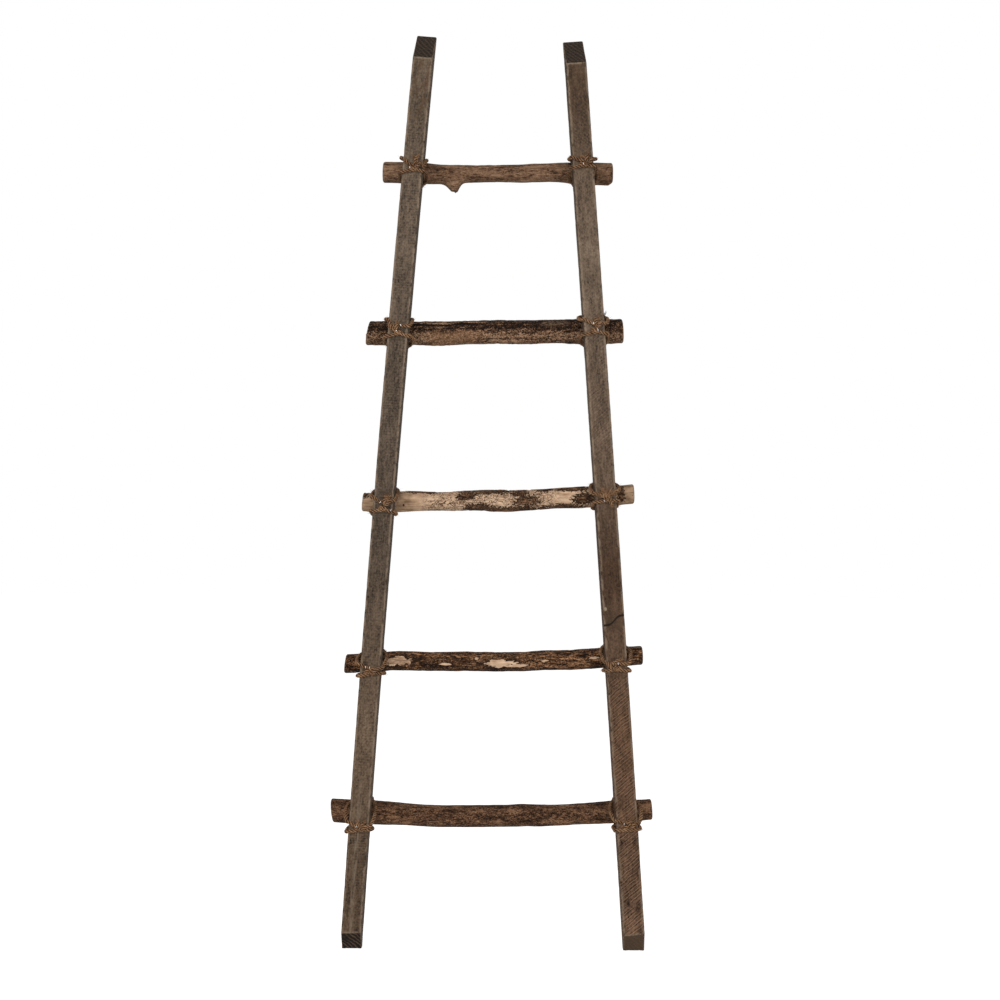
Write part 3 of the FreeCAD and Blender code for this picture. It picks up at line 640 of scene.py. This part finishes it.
# The bark's colours from its cracks to its ridges, how many fibres there are in a metre along the branch
# and round it, and how boldly it flakes and cracks.
BARKS = {
    1: ([(0.20, (0.018, 0.009, 0.005)), (0.36, (0.092, 0.048, 0.027)), (0.54, (0.178, 0.100, 0.058)),
         (0.80, (0.300, 0.184, 0.112))], 150, 470, 0.18),
    2: ([(0.24, (0.006, 0.003, 0.002)), (0.42, (0.028, 0.013, 0.007)), (0.60, (0.140, 0.074, 0.040)),
         (0.84, (0.370, 0.226, 0.136))], 230, 380, 0.40),
    3: ([(0.24, (0.012, 0.006, 0.003)), (0.46, (0.070, 0.034, 0.018)), (0.80, (0.250, 0.136, 0.072))],
        200, 420, 0.22),
    4: ([(0.24, (0.006, 0.003, 0.002)), (0.44, (0.042, 0.019, 0.009)), (0.60, (0.145, 0.070, 0.034)),
         (0.84, (0.390, 0.205, 0.104))], 170, 430, 0.32),
    5: ([(0.22, (0.011, 0.005, 0.003)), (0.40, (0.050, 0.024, 0.012)), (0.58, (0.130, 0.066, 0.036)),
         (0.82, (0.290, 0.160, 0.090))], 180, 440, 0.33),
}

# How the edges of the peeled areas fray: the noise's waves in a metre, its detail and distortion, and
# how far it moves them.
FRAYED_EDGES = {3: ((100, 175, 175), 3, 2.6, 3.5), 4: ((75, 150, 150), 4, 1.0, 2.8)}
WORM_HOLE_X, WORM_HOLE_Z = -0.155, 0.7380


def lifted_strip(place, up, clouds):
    """The bark that has lifted along the top of the second rung's left half: pale, with a line of painted
    shade below it.
    """
    x, wavering = place.axis(0), up + clouds * 0.3
    strip = x.rise(-0.150, -0.135) * x.rise(-0.015, -0.035)
    pale = wavering.rise(0.68, 0.76) * wavering.rise(0.92, 0.84) * strip
    dark = wavering.rise(0.50, 0.58) * wavering.rise(0.72, 0.66) * strip
    # painted shade: the band below the lifted bark is darkened
    return pale * 0.34 - dark * 0.24


def second_rung_stains(place, up, clouds, streaks, colour):
    """A warm patch low on the left half, and a pale worn scar high on the right."""
    x = place.axis(0)
    warm = x.rise(-0.125, -0.100) * x.rise(-0.020, -0.045) * (up + clouds).rise(0.25, -0.15)
    colour = (warm * 0.34).blend(colour, (0.265, 0.140, 0.072))
    scar = x.rise(0.068, 0.082) * x.rise(0.126, 0.108) * (up + clouds).rise(0.20, 0.40) * up.rise(0.90, 0.75)
    return (scar * streaks.rise(-0.12, 0.10) * 0.55).blend(colour, (0.215, 0.145, 0.097))


def peeled_wood(number, place):
    """Bare wood: pale streaks, with insect tracks on the third rung and dark fibres on the fourth."""
    x = place.axis(0)
    wood = place.noise((26, 420, 420), 4, 0.6, 0.5) * 0.55 + place.noise((90, 130, 130), 3) * 0.45
    colour = wood.ramp([(0.32, (0.250, 0.138, 0.073)), (0.46, (0.455, 0.300, 0.192)),
                        (0.64, (0.640, 0.450, 0.305))])
    if number == 4:
        fibrous = place.noise((60, 420, 420), 3, 0.6, 0.6).rise(0.42, 0.60) * x.rise(-0.12, -0.14)
        return (fibrous * 0.75).blend(colour, (0.130, 0.066, 0.034))
    brown = x.rise(-0.115, -0.150) * 0.55 + x.rise(0.190, 0.212) * 0.60
    colour = brown.blend(colour, wood.rise(0.2, 0.8).tint((0.420, 0.250, 0.140)))
    tracks = abs(place.noise((80, 130, 130), 2, 0.5, 2.6) - 0.5).rise(0.060, 0.034)
    where = place.noise((24, 40, 40), 2).rise(0.33, 0.43) * x.rise(-0.135, -0.105) * x.rise(0.12, 0.08)
    colour = (tracks * where * 0.92).blend(colour, (0.040, 0.019, 0.010))
    # painted shade: a near-black disc stands for the worm hole, which the mesh doesn't cut
    worm_x, worm_z = x - WORM_HOLE_X, place.axis(2) - WORM_HOLE_Z
    worm_hole = (worm_x * worm_x + worm_z * worm_z).math("SQRT").rise(0.0022, 0.0012)
    colour = worm_hole.blend(colour, (0.015, 0.008, 0.005))
    specks = place.noise((300, 380, 380), 2).rise(0.62, 0.70) * (x.rise(0.185, 0.200) * 0.8 + 0.2)
    return (specks * 0.85).blend(colour, (0.035, 0.018, 0.010))


def branch_look(number):
    """Bark in dark cracks and paler ridges along the branch, bare wood where it is missing, sawn ends."""
    look, start = new_look(f"branch_{number}_bark")
    place = object_place(start)
    tones, along, around, bold = BARKS[number]
    streaks = place.noise((along, around, around), 4, 0.65, 0.9) - 0.5
    strands = place.noise((along * 0.22, around * 0.55, around * 0.55), 3, 0.5, 0.5) - 0.5
    clouds = place.noise((17, 70, 70), 3) - 0.5
    grit = place.noise((700, 1100, 1100), 3) - 0.5
    up, hollow_shade = read_mark(start, "up"), read_mark(start, "hollow_shade")
    flakes = place.noise((along * 1.5, around * 1.2, around * 1.2), 2, 0.6, 1.5).rise(0.40, 0.60) - 0.5
    cracks = place.noise((along * 0.4, around * 0.75, around * 0.75), 2, 0.5, 1.2) - 0.5
    cracks = abs(cracks).rise(0.040, 0.010)
    level = 0.555 + streaks * 1.2 + flakes * bold + strands * 0.7 + clouds * 0.8 + grit * 0.4
    # the bark's cracks are darker, and painted shade darkens the dents of the mesh
    level = level - cracks * bold - hollow_shade * 0.10
    if number == 2:
        level = level + (up + clouds * 1.8).rise(0.25, -0.30) * 0.285 - 0.175
        level = level + lifted_strip(place, up, clouds)
    if number == 4:
        # painted shade darkens the fourth rung's underside; its right half gets bolder streaks
        level = level - up.rise(-0.45, -0.95) * 0.12 + place.axis(0).rise(0.05, 0.12) * strands * 0.7
    colour = level.ramp(tones)
    if number == 2:
        colour = second_rung_stains(place, up, clouds, streaks, colour)
    relief = streaks * 0.8 + strands * 0.4 + grit * 0.35 + flakes * 0.08 - cracks * 0.12
    if number in FRAYED_EDGES:
        waves, detail, distortion, reach = FRAYED_EDGES[number]
        bare = read_mark(start, "bare") + (place.noise(waves, detail, 0.6, distortion) - 0.5) * reach
        edge = bare.rise(-0.60, -0.08) * bare.rise(0.20, 0.02)
        colour = (edge * 0.93).blend(colour, (0.018, 0.009, 0.005))
        shown = bare.rise(0.03, 0.10)
        colour = shown.blend(colour, peeled_wood(number, place))
        relief = relief * (1 - shown * 0.75) - shown * 0.9
    rim, cut = read_mark(start, "rim"), read_mark(start, "cut")
    sawn = place.noise((500, 160, 160), 3, 0.6, 0.4).ramp(
        [(0.30, (0.110, 0.060, 0.033)), (0.70, (0.400, 0.262, 0.160))])
    colour = (rim.rise(0.05, 0.6) * (0.75 if number in (2, 3) else 0.45)).blend(colour, sawn)
    colour = (cut * 0.85).blend(colour, (0.62 + grit).tint(sawn))
    finish_look(colour, 0.80 + streaks * 0.3, 0.0016, relief, 0.08)
    return look


# For each branch: how high its lumps and its ridges of bark stand, the size of a ridge along X, Y and Z,
# and how far its left and right sawn faces lean.
RUNG_FORMS = {1: (0.0008, 0.00055, (0.018, 0.0045, 0.0045), (0.0010, 0.0010)),
              2: (0.0008, 0.00100, (0.012, 0.0045, 0.0045), (0.0060, 0.0020)),
              3: (0.0010, 0.00055, (0.016, 0.0050, 0.0050), (0.0020, 0.0010)),
              4: (0.0008, 0.00075, (0.016, 0.0045, 0.0045), (0.0030, 0.0010)),
              5: (0.0010, 0.00060, (0.020, 0.0050, 0.0050), (-0.0040, 0.0020))}
for number, form in RUNG_FORMS.items():
    branch = make_rung(number, *form)
    branch.data.materials.append(branch_look(number))
    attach(branch, "root")
    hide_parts(f"rung_{number}")

# --- Lashings -------------------------------------------------------------------------------------
# Ten lengths of brown jute twine, each laid of three yarns. Each goes twice across its rail's front and
# over and under the rung on both sides, is hitched round itself in front, and ends in two frayed tails.

TWINE_RADIUS, TWINE_PITCH, YARNS = 0.0031, 0.0168, 3
# A yarn's middle and its own radius, as shares of the twine's radius.
YARN_MIDDLE, YARN_RADIUS = 0.53, 0.47
LINE_STEP = 0.0011
# Millimetres across the rail's front, from one arris to the other, at which the strands' heights are given.
EDGE = 17
ACROSS = (-EDGE, -9, 0, 9, EDGE)

# In millimetres. Heights above the rung's axis of the upper and the lower strand on the rail's front, from
# the left to the right, and how far the strands bulge beside the rail: upper left and right, then lower.
# Then the side that the hitch comes from, its place, and the tips of the last tail and of the first.
LASHINGS = {
    (1, "left"): ((7, 0, -4, -5, -5), (-16, -7, -8, -9, -12), (0, 0, 2, 5),
                  1, (7, -1), (8, 12), (2, 9)),
    (1, "right"): ((12.5, 8.5, 6, 7, 7.5), (-4, 0, 1, -1, -4), (0.5, 1.5, 4.5, 2.5),
                   1, (8, 6), (9, 15), (-3, 13)),
    (2, "left"): ((13, 7.5, 5, 4, 5), (-15, -5.5, -5.5, -6, -11.5), (3, 1, 3, 5),
                  -1, (-6, 0), (-2, 9), (-14, 3)),
    (2, "right"): ((13.5, 9, 5, 4, 4), (-11.5, -4, -4, -8, -12.5), (4.5, 4, 5.5, 1),
                   1, (4, 4), (7, 14), (2, 12)),
    (3, "left"): ((9, 3.5, 1.5, 2, 6), (-14, -8, -7, -9, -13), (1.5, 1, 0, 0),
                  1, (5, 3), (10, 12), (4, 13)),
    (3, "right"): ((5.5, 3.5, 3, 3.5, 6), (-9, -7.5, -7.5, -7, -9), (2, 4, 1, 0),
                   -1, (0, 1), (8, -16), (-6, 10)),
    (4, "left"): ((5.5, 2, 1, -1, 1.5), (-14, -6, -4, -7, -7), (5, 5, 0.5, 3),
                  1, (3, -3), (-7, -7), (9, -3)),
    (4, "right"): ((0, -2, -3, -4.5, -4.5), (-14, -13, -9, -13, -16.5), (2.5, 5, 0, 0),
                   -1, (-7, -6.5), (-9, -2), (7, 3)),
    (5, "left"): ((-2, -6, -9.5, -9, -6), (-18, -11.5, -10.5, -12.5, -12), (5, 5, 0, 2),
                  1, (4, -9), (-2, 1), (8, 0)),
    (5, "right"): ((1, -2, -3, -5.5, -4.5), (-15, -15.5, -7, -14.5, -15), (4, 5.5, 0, 1),
                   1, (5, -6), (7, 2), (-4, 0)),
}


def joint_axes(number, side):
    """Where a rung's axis crosses a rail, and the directions across the rail, backwards and along it."""
    cross = rung_crossing(number, side)
    lean = -SIGNS[side] * math.atan(LEAN)
    across, along = [math.cos(lean), 0, -math.sin(lean)], [math.sin(lean), 0, math.cos(lean)]
    return np.array([cross, 0, rung_height(number, cross)]), np.array([across, [0, 1, 0], along])


def twine_route(number, side):
    """The points that steer a lashing's line, in order from its first tail to its last."""
    uppers, lowers, bulges, hand, hitch, last_tip, first_tip = LASHINGS[number, side]
    origin, axes = joint_axes(number, side)
    clear = TWINE_RADIUS / MM
    front = -RAIL_DEPTH / MM - clear

    def leg(sign, over):
        """From the rail's front round its arris, back beside it, and over or under the rung."""
        heights, bulge = (uppers, bulges[:2]) if over > 0 else (lowers, bulges[2:])
        begin, bulge = (heights[0], bulge[0]) if sign < 0 else (heights[-1], bulge[1])
        arris = float(batten_side(side, sign, origin[2])) / MM + clear + 0.2
        x = origin[0] + sign * arris * MM
        reach = branch_girth(number, np.array(x)) / 2 / MM + clear - 0.6
        back = reach - clear - SEAT_FLAT / MM
        rise = (branch_height(number, x) - origin[2]) / MM - sign * arris * axes[0, 2]
        climb = rise + over * reach - begin
        # a leg with far to go up or down does most of that beside the front of the rail
        early = min(max(0.02 * (abs(climb) - 8), 0), 0.3)
        return [(sign * EDGE, front, begin), (sign * arris, front - 0.4, begin),
                (sign * (arris + bulge * 0.7), front + 8, begin + (0.06 + early) * climb),
                (sign * (arris + bulge), front * 0.45, begin + (0.38 + 1.1 * early) * climb),
                (sign * arris, 2, begin + 0.93 * climb),
                (sign * (arris - 6), back - 0.1 * reach, begin + climb),
                (sign * (arris - 7), back + 0.6 * reach, begin + climb),
                (sign * (arris - 7), back + reach, rise + over * reach / 2)]

    def strand(heights, keep):
        """The points of a strand that keep picks, from the hitch's side of the front to the other."""
        places = list(zip(ACROSS, heights))[::-hand]
        return [(x, front, height) for x, height in places if keep(hand * x)]

    x, z = hitch
    away = strand(uppers, lambda place: -EDGE < place < hand * x - 3)
    home = strand(uppers, lambda place: hand * x + 7 < place < EDGE)
    lower = strand(lowers, lambda place: abs(place) < EDGE)
    points = [(first_tip[0], front - 1, first_tip[1]), (x + hand * 2, front - 1.5, z + 4), (x, front, z),
              *away, *leg(-hand, 1), *leg(-hand, -1)[::-1], *lower, *leg(hand, -1), *leg(hand, 1)[::-1],
              *home, (x + hand * 6, front - 5, z + 2), (x + hand * 2, front - 5.2, z - 4.5),
              (x - hand * 3, front - 1.5, z - 4), (x - hand * 3.5, front - 5.2, z + 3.5),
              (last_tip[0], front - 2, last_tip[1])]
    return origin + np.array(points) @ axes * MM


def line_through(name, points, step):
    """Evenly spaced points on the smooth NURBS line that some points steer, and the way travelled."""
    curve = bpy.data.curves.new(name, "CURVE")
    curve.dimensions = "3D"
    curve.resolution_u = 14
    spline = curve.splines.new("NURBS")
    spline.points.add(len(points) - 1)
    spline.points.foreach_set("co", np.column_stack([points, np.ones(len(points))]).ravel())
    spline.order_u = 3
    spline.use_endpoint_u = True
    holder = bpy.data.objects.new(name, curve)
    mesh = bpy.data.meshes.new_from_object(holder)
    line = np.empty(len(mesh.vertices) * 3)
    mesh.vertices.foreach_get("co", line)
    line = line.reshape(-1, 3)
    bpy.data.objects.remove(holder)
    bpy.data.curves.remove(curve)
    bpy.data.meshes.remove(mesh)
    travelled = np.concatenate([[0], np.cumsum(np.linalg.norm(np.diff(line, axis=0), axis=1))])
    even = np.arange(0, travelled[-1], step)
    return np.stack([np.interp(even, travelled, line[:, k]) for k in range(3)], -1), even


def unit(vectors):
    """Vectors of length 1 in the same directions."""
    return vectors / np.maximum(np.linalg.norm(vectors, axis=-1, keepdims=True), 1e-9)


def laid_yarns(line, travelled, inside, seed):
    """Three yarns that turn about a line like a screw, each a tube of eight-sided rings.

    A yarn's middle lies off the line by a fixed distance, at an angle that grows with the way travelled.
    The angle is counted from the direction to a point inside the winding.
    """
    along = unit(np.gradient(line, axis=0))
    inward = inside - line
    inward = unit(inward - np.sum(inward * along, -1, keepdims=True) * along)
    sideways = np.cross(along, inward)
    turn = np.linspace(0, 2 * math.pi, 8, endpoint=False)
    taper = 0.5 + 0.5 * smooth(np.minimum(travelled, travelled[-1] - travelled), 0, 0.003)[:, None, None]
    ring = np.cos(turn)[None, :, None] * inward[:, None] + np.sin(turn)[None, :, None] * sideways[:, None]
    tubes, lays, crease_shades = [], [], []
    for yarn in range(YARNS):
        angle = 2 * math.pi * (travelled / TWINE_PITCH + yarn / YARNS)
        loose = 1 + 0.14 * lumps(line + yarn, 0.006, seed + yarn)
        out = np.cos(angle)[:, None] * inward + np.sin(angle)[:, None] * sideways
        middle = line + (TWINE_RADIUS * YARN_MIDDLE * loose)[:, None] * out
        uneven = 1 + 0.12 * lumps(line + 3 * yarn, 0.004, seed + 9)
        thick = (TWINE_RADIUS * YARN_RADIUS * uneven)[:, None, None]
        tube = middle[:, None] + ring * thick * taper
        tubes.append(tube)
        lays.append(np.stack([travelled[:, None] + 0 * turn, (turn - angle[:, None]) * TWINE_RADIUS,
                              0.1 * yarn + 0 * tube[..., 0]], -1))
        # how deep each point lies towards the twine's middle, between the yarns, for the painted shade in the
        # creases
        crease_shades.append(1 - np.linalg.norm(tube - line[:, None], axis=-1) / (1.02 * TWINE_RADIUS))
    return tubes, lays, crease_shades


def fibres(starts, ways, lengths, thickness, chance):
    """Loose fibres: three-sided tapering tubes that bend away from a starting direction."""
    share = np.linspace(0, 1, 5)[None, :, None]
    droop = unit(chance.normal(size=ways.shape))
    bow = unit(ways)[:, None] * share + 0.4 * droop[:, None] * share**2
    bent = starts[:, None] + lengths[:, None, None] * bow
    side = unit(np.cross(ways, droop))
    other = unit(np.cross(ways, side))
    turn = np.radians([90, 210, 330])[None, None, :, None]
    ring = np.cos(turn) * side[:, None, None] + np.sin(turn) * other[:, None, None]
    return list(bent[:, :, None] + ring * thickness * (1.0 - 0.75 * share[..., None]))


# How many fibres stand off a lashing, and how many a tail frays into. The third right lashing's fan has
# coarse ones too, and the end of one yarn of the second right one stands up beside the rail.
STRAYS, TUFT, COARSE, STANDING = 200, 54, 26, 5


def make_lashing(number, side):
    """The laid yarns, their stray fibres, and the tufts into which both tails fray."""
    seed = 100 * number + (side == "right")
    chance = np.random.default_rng(seed)
    origin, axes = joint_axes(number, side)
    line, travelled = line_through("route", twine_route(number, side), LINE_STEP)
    inside = origin - axes[1] * 0.4 * RAIL_DEPTH
    tubes, lays, crease_shades = laid_yarns(line, travelled, inside, seed)
    along = unit(np.gradient(line, axis=0))
    picked = chance.integers(0, len(line), STRAYS)
    outward = unit(unit(line[picked] - inside) + 0.5 * chance.normal(size=(STRAYS, 3)))
    leaning = outward + 1.8 * along[picked] * chance.choice([-1, 1], STRAYS)[:, None]
    loose = fibres(line[picked] + outward * TWINE_RADIUS * 0.8, leaning,
                   chance.uniform(0.003, 0.008, STRAYS), 0.00012, chance)
    for end, direction in ((0, -along[2]), (-1, along[-3])):
        starts = line[end] - direction * 0.002 + 0.0012 * chance.normal(size=(TUFT, 3))
        spread = unit(direction - 0.25 * axes[1] + 0.40 * chance.normal(size=(TUFT, 3)))
        loose += fibres(starts, spread, chance.uniform(0.002, 0.0065, TUFT), 0.00032, chance)
    if (number, side) == (3, "right"):
        for count, thick in ((TUFT, 0.00035), (COARSE, 0.00085)):
            fan = chance.uniform(-1.25, 1.15, count)
            spread = np.sin(fan)[:, None] * axes[0] + np.cos(fan)[:, None] * axes[2] - 0.12 * axes[1]
            middle = origin + np.array([0, -RAIL_DEPTH - 0.0085, -0.003]) + spread * 0.002
            loose += fibres(middle + 0.0009 * chance.normal(size=(count, 3)), spread,
                            chance.uniform(0.009, 0.0155, count), thick, chance)
    pale = len(loose)
    if (number, side) == (2, "right"):
        stand = axes[0] + axes[2] + 0.15 * chance.normal(size=(STANDING, 3))
        middle = origin + np.array([0.0155, -0.0400, 0.0165]) @ axes
        loose += fibres(middle + 0.0004 * chance.normal(size=(STANDING, 3)), stand,
                        chance.uniform(0.007, 0.010, STANDING), 0.0008, chance)
    lays += [np.zeros(fibre.shape) + (0.01 * index, 0, 0.5) for index, fibre in enumerate(loose)]
    # painted crease shade: none on the stray and frayed fibres, half on the standing yarn end, which darkens
    # it
    crease_shades += [np.full(fibre.shape[:2], 0.5 * (index >= pale)) for index, fibre in enumerate(loose)]
    return skin(f"twine_{number}_{side}", tubes + loose, {"lay": lays, "crease_shade": crease_shades})


def twine_look():
    """Jute: fibres that follow each yarn, with painted shade darkening it deep between the yarns, so that the
    raised yarns look paler.
    """
    look, start = new_look("jute_twine")
    lay, crease_shade = read_mark(start, "lay", "Vector"), read_mark(start, "crease_shade")
    place = object_place(start)
    hairy = lay.noise((330, 1700, 40), 4, 0.6, 0.4)
    # painted shade: darker where the twine's surface lies deep between the yarns
    level = hairy * 0.7 + place.noise((120, 120, 120), 3) * 0.5 - crease_shade.rise(0.06, 0.50) * 0.38 + 0.06
    level = level - place.axis(2).rise(1.1, 1.3) * 0.05
    colour = level.ramp([(0.24, (0.014, 0.007, 0.004)), (0.42, (0.075, 0.037, 0.019)),
                         (0.58, (0.164, 0.088, 0.045)), (0.78, (0.348, 0.201, 0.111))])
    finish_look(colour, 0.85 + crease_shade * 0.1, 0.0004, hairy, 0.1)
    return look


jute = twine_look()
for number, side in LASHINGS:
    lashing = make_lashing(number, side)
    lashing.data.materials.append(jute)
    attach(lashing, "root")
    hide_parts(f"lashing_{number}_{side}")

# --- Staples --------------------------------------------------------------------------------------
# Bright wire staples driven over the twine into the rails' fronts, where only a glint of each shows.

STAPLE_WIRE, STAPLE_WIDTH, STAPLE_REACH, STAPLE_BEND = 0.00040, 0.0034, 0.0105, 0.0008
CROWN_ABOVE = 0.0009

# The rung, the place across the rail and above the rung's axis in millimetres, and the tilt in degrees.
STAPLES = {
    "left": [(1, -4, -8, 10), (2, 4.4, 4.5, -8), (2, -2, -5, 20), (3, -4.6, 1.8, 15), (3, 14, -9.8, 0),
             (4, -0.7, 1, 5), (4, -7, 1.8, -10), (5, -3.3, -7.8, 25)],
    "right": [(1, -0.3, 0.5, 0), (2, -2, 5.4, 12), (2, 4.6, -5.5, -10), (3, -4, -7.5, 5), (4, 1, -3.2, 0),
              (5, -6, -4.2, 15)],
}


def make_staples(side):
    """Each staple is a wire with two bends: a crown over the twine, and two legs down into the wood."""
    bend = np.radians(np.linspace(0, 90, 5))
    half = STAPLE_WIDTH / 2
    out = np.concatenate([[half], half - STAPLE_BEND * (1 - np.cos(bend)), [0]])
    rise = np.concatenate([[-STAPLE_REACH], STAPLE_BEND * (np.sin(bend) - 1), [0]])
    out, rise = np.concatenate([out, -out[-2::-1]]), np.concatenate([rise, rise[-2::-1]])
    turn = np.linspace(0, 2 * math.pi, 8, endpoint=False)[None, :, None]
    wires = []
    for number, across, height, tilt in STAPLES[side]:
        origin, axes = joint_axes(number, side)
        tilt = math.radians(tilt)
        crown = math.sin(tilt) * axes[0] + math.cos(tilt) * axes[2]
        front = -RAIL_DEPTH - 2 * TWINE_RADIUS - CROWN_ABOVE
        middle = origin + np.array([across * MM, front, height * MM]) @ axes
        path = middle + out[:, None] * crown - rise[:, None] * axes[1]
        level = np.cross(crown, axes[1])
        upright = np.cross(unit(np.gradient(path, axis=0)), level)
        ring = np.cos(turn) * level + np.sin(turn) * upright[:, None]
        wires.append(path[:, None] + STAPLE_WIRE * ring)
    return skin(f"wire_staples_{side}", wires, {})


def steel_look(name, tone, roughness):
    """Drawn steel: fine scratches in its roughness, and a little tarnish in its colour."""
    look, start = new_look(name)
    place = object_place(start)
    tarnish = place.noise((400, 400, 400), 3)
    scratches = place.noise((3000, 900, 3000), 2)
    colour = (0.7 + tarnish * 0.6).tint(tone)
    finish_look(colour, roughness + scratches * 0.25, 0.00005, scratches, 0.5, 1.0)
    return look


staple_steel = steel_look("staple_steel", (0.70, 0.70, 0.69), 0.25)
for side in SIGNS:
    staples = make_staples(side)
    staples.data.materials.append(staple_steel)
    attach(staples, "root")
    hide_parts(f"twine_staples_{side}")

# --- Screws ---------------------------------------------------------------------------------------
# Plain steel wood screws, one at each joint, driven from the bored holes in the backs of the rungs into
# the rails. They keep the shapes of the solids.

screw_steel = steel_look("screw_steel", (0.50, 0.47, 0.40), 0.30)
for side in SIGNS:
    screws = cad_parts[f"rung_screws_{side}"]
    screws.data.materials.clear()
    screws.data.materials.append(screw_steel)

# --- Floor, light and camera ----------------------------------------------------------------------
# A white floor without an edge, a white surround, two large soft lamps in front, and the camera at the
# photograph's height, distance and slight roll.

FLOOR_RADIUS, FLOOR_BELOW, FLOOR_GLOW = 9.0, 0.0002, 0.76
AMBIENT = 0.28
LAMP_SIZE = 2.4


def seen_directly(start):
    """1 for what the camera sees straight on or in a reflection, and 0 for light on its way to a piece."""
    rays = ("Is Camera Ray", "Is Glossy Ray", "Is Transmission Ray")
    camera_ray, glossy_ray, clear_ray = (start.node("LightPath", {}, {}, ray) for ray in rays)
    return camera_ray.math("MAXIMUM", glossy_ray).math("MAXIMUM", clear_ray)


def make_floor():
    """A matt pale disc, brightened to white for the camera, so that only its shadows show on it."""
    turn = np.linspace(0, 2 * math.pi, 96, endpoint=False)
    mesh = bpy.data.meshes.new("floor")
    points = np.stack([FLOOR_RADIUS * np.cos(turn), FLOOR_RADIUS * np.sin(turn), 0 * turn - FLOOR_BELOW], -1)
    mesh.from_pydata(points.tolist(), [], [list(range(len(turn)))])
    floor = bpy.data.objects.new("floor", mesh)
    bpy.context.scene.collection.objects.link(floor)
    look, start = new_look("white_floor")
    matt = start.node("BsdfDiffuse", {}, {"Color": (0.90, 0.90, 0.90)})
    even = start.node("Emission", {}, {"Color": (1, 1, 1), "Strength": seen_directly(start) * FLOOR_GLOW})
    shown = start.node("AddShader", {}, {0: matt, 1: even})
    shown.node("OutputMaterial", {}, {"Surface": shown})
    mesh.materials.append(look)
    return floor


def light_world():
    """White to the camera and in reflections, and a dimmer even light to everything else."""
    world = bpy.data.worlds.new("surround")
    world.use_nodes = True
    world.node_tree.nodes.clear()
    start = Signal(world.node_tree)
    strength = seen_directly(start) * (1 - AMBIENT) + AMBIENT
    sky = start.node("Background", {}, {"Color": (1, 1, 1), "Strength": strength})
    sky.node("OutputWorld", {}, {"Surface": sky})
    bpy.context.scene.world = world


def soft_lamp(name, place, target, power):
    """A square lamp that faces a target."""
    light = bpy.data.lights.new(name, "AREA")
    light.shape = "SQUARE"
    light.size = LAMP_SIZE
    light.energy = power
    lamp = bpy.data.objects.new(name, light)
    bpy.context.scene.collection.objects.link(lamp)
    towards = Vector(target) - Vector(place)
    lamp.matrix_world = Matrix.Translation(place) @ towards.to_track_quat("-Z", "Y").to_matrix().to_4x4()


make_floor()
light_world()
soft_lamp("key_lamp", (-1.0, -3.3, 2.2), (0, 0, 0.65), 88)
soft_lamp("fill_lamp", (1.5, -3.3, 0.8), (0, 0, 0.55), 50)

CAMERA_PLACE = (0.00615, -2.322, 0.7479)
CAMERA_ROLL = math.radians(0.43)
camera_data = bpy.data.cameras.new("camera")
camera_data.lens = 50
camera_data.sensor_width = 36
camera = bpy.data.objects.new("camera", camera_data)
bpy.context.scene.collection.objects.link(camera)
camera.matrix_world = (Matrix.Translation(CAMERA_PLACE) @ Matrix.Rotation(math.pi / 2, 4, "X")
                       @ Matrix.Rotation(CAMERA_ROLL, 4, "Z"))
bpy.context.scene.camera = camera
bpy.context.scene.view_settings.view_transform = "Standard"
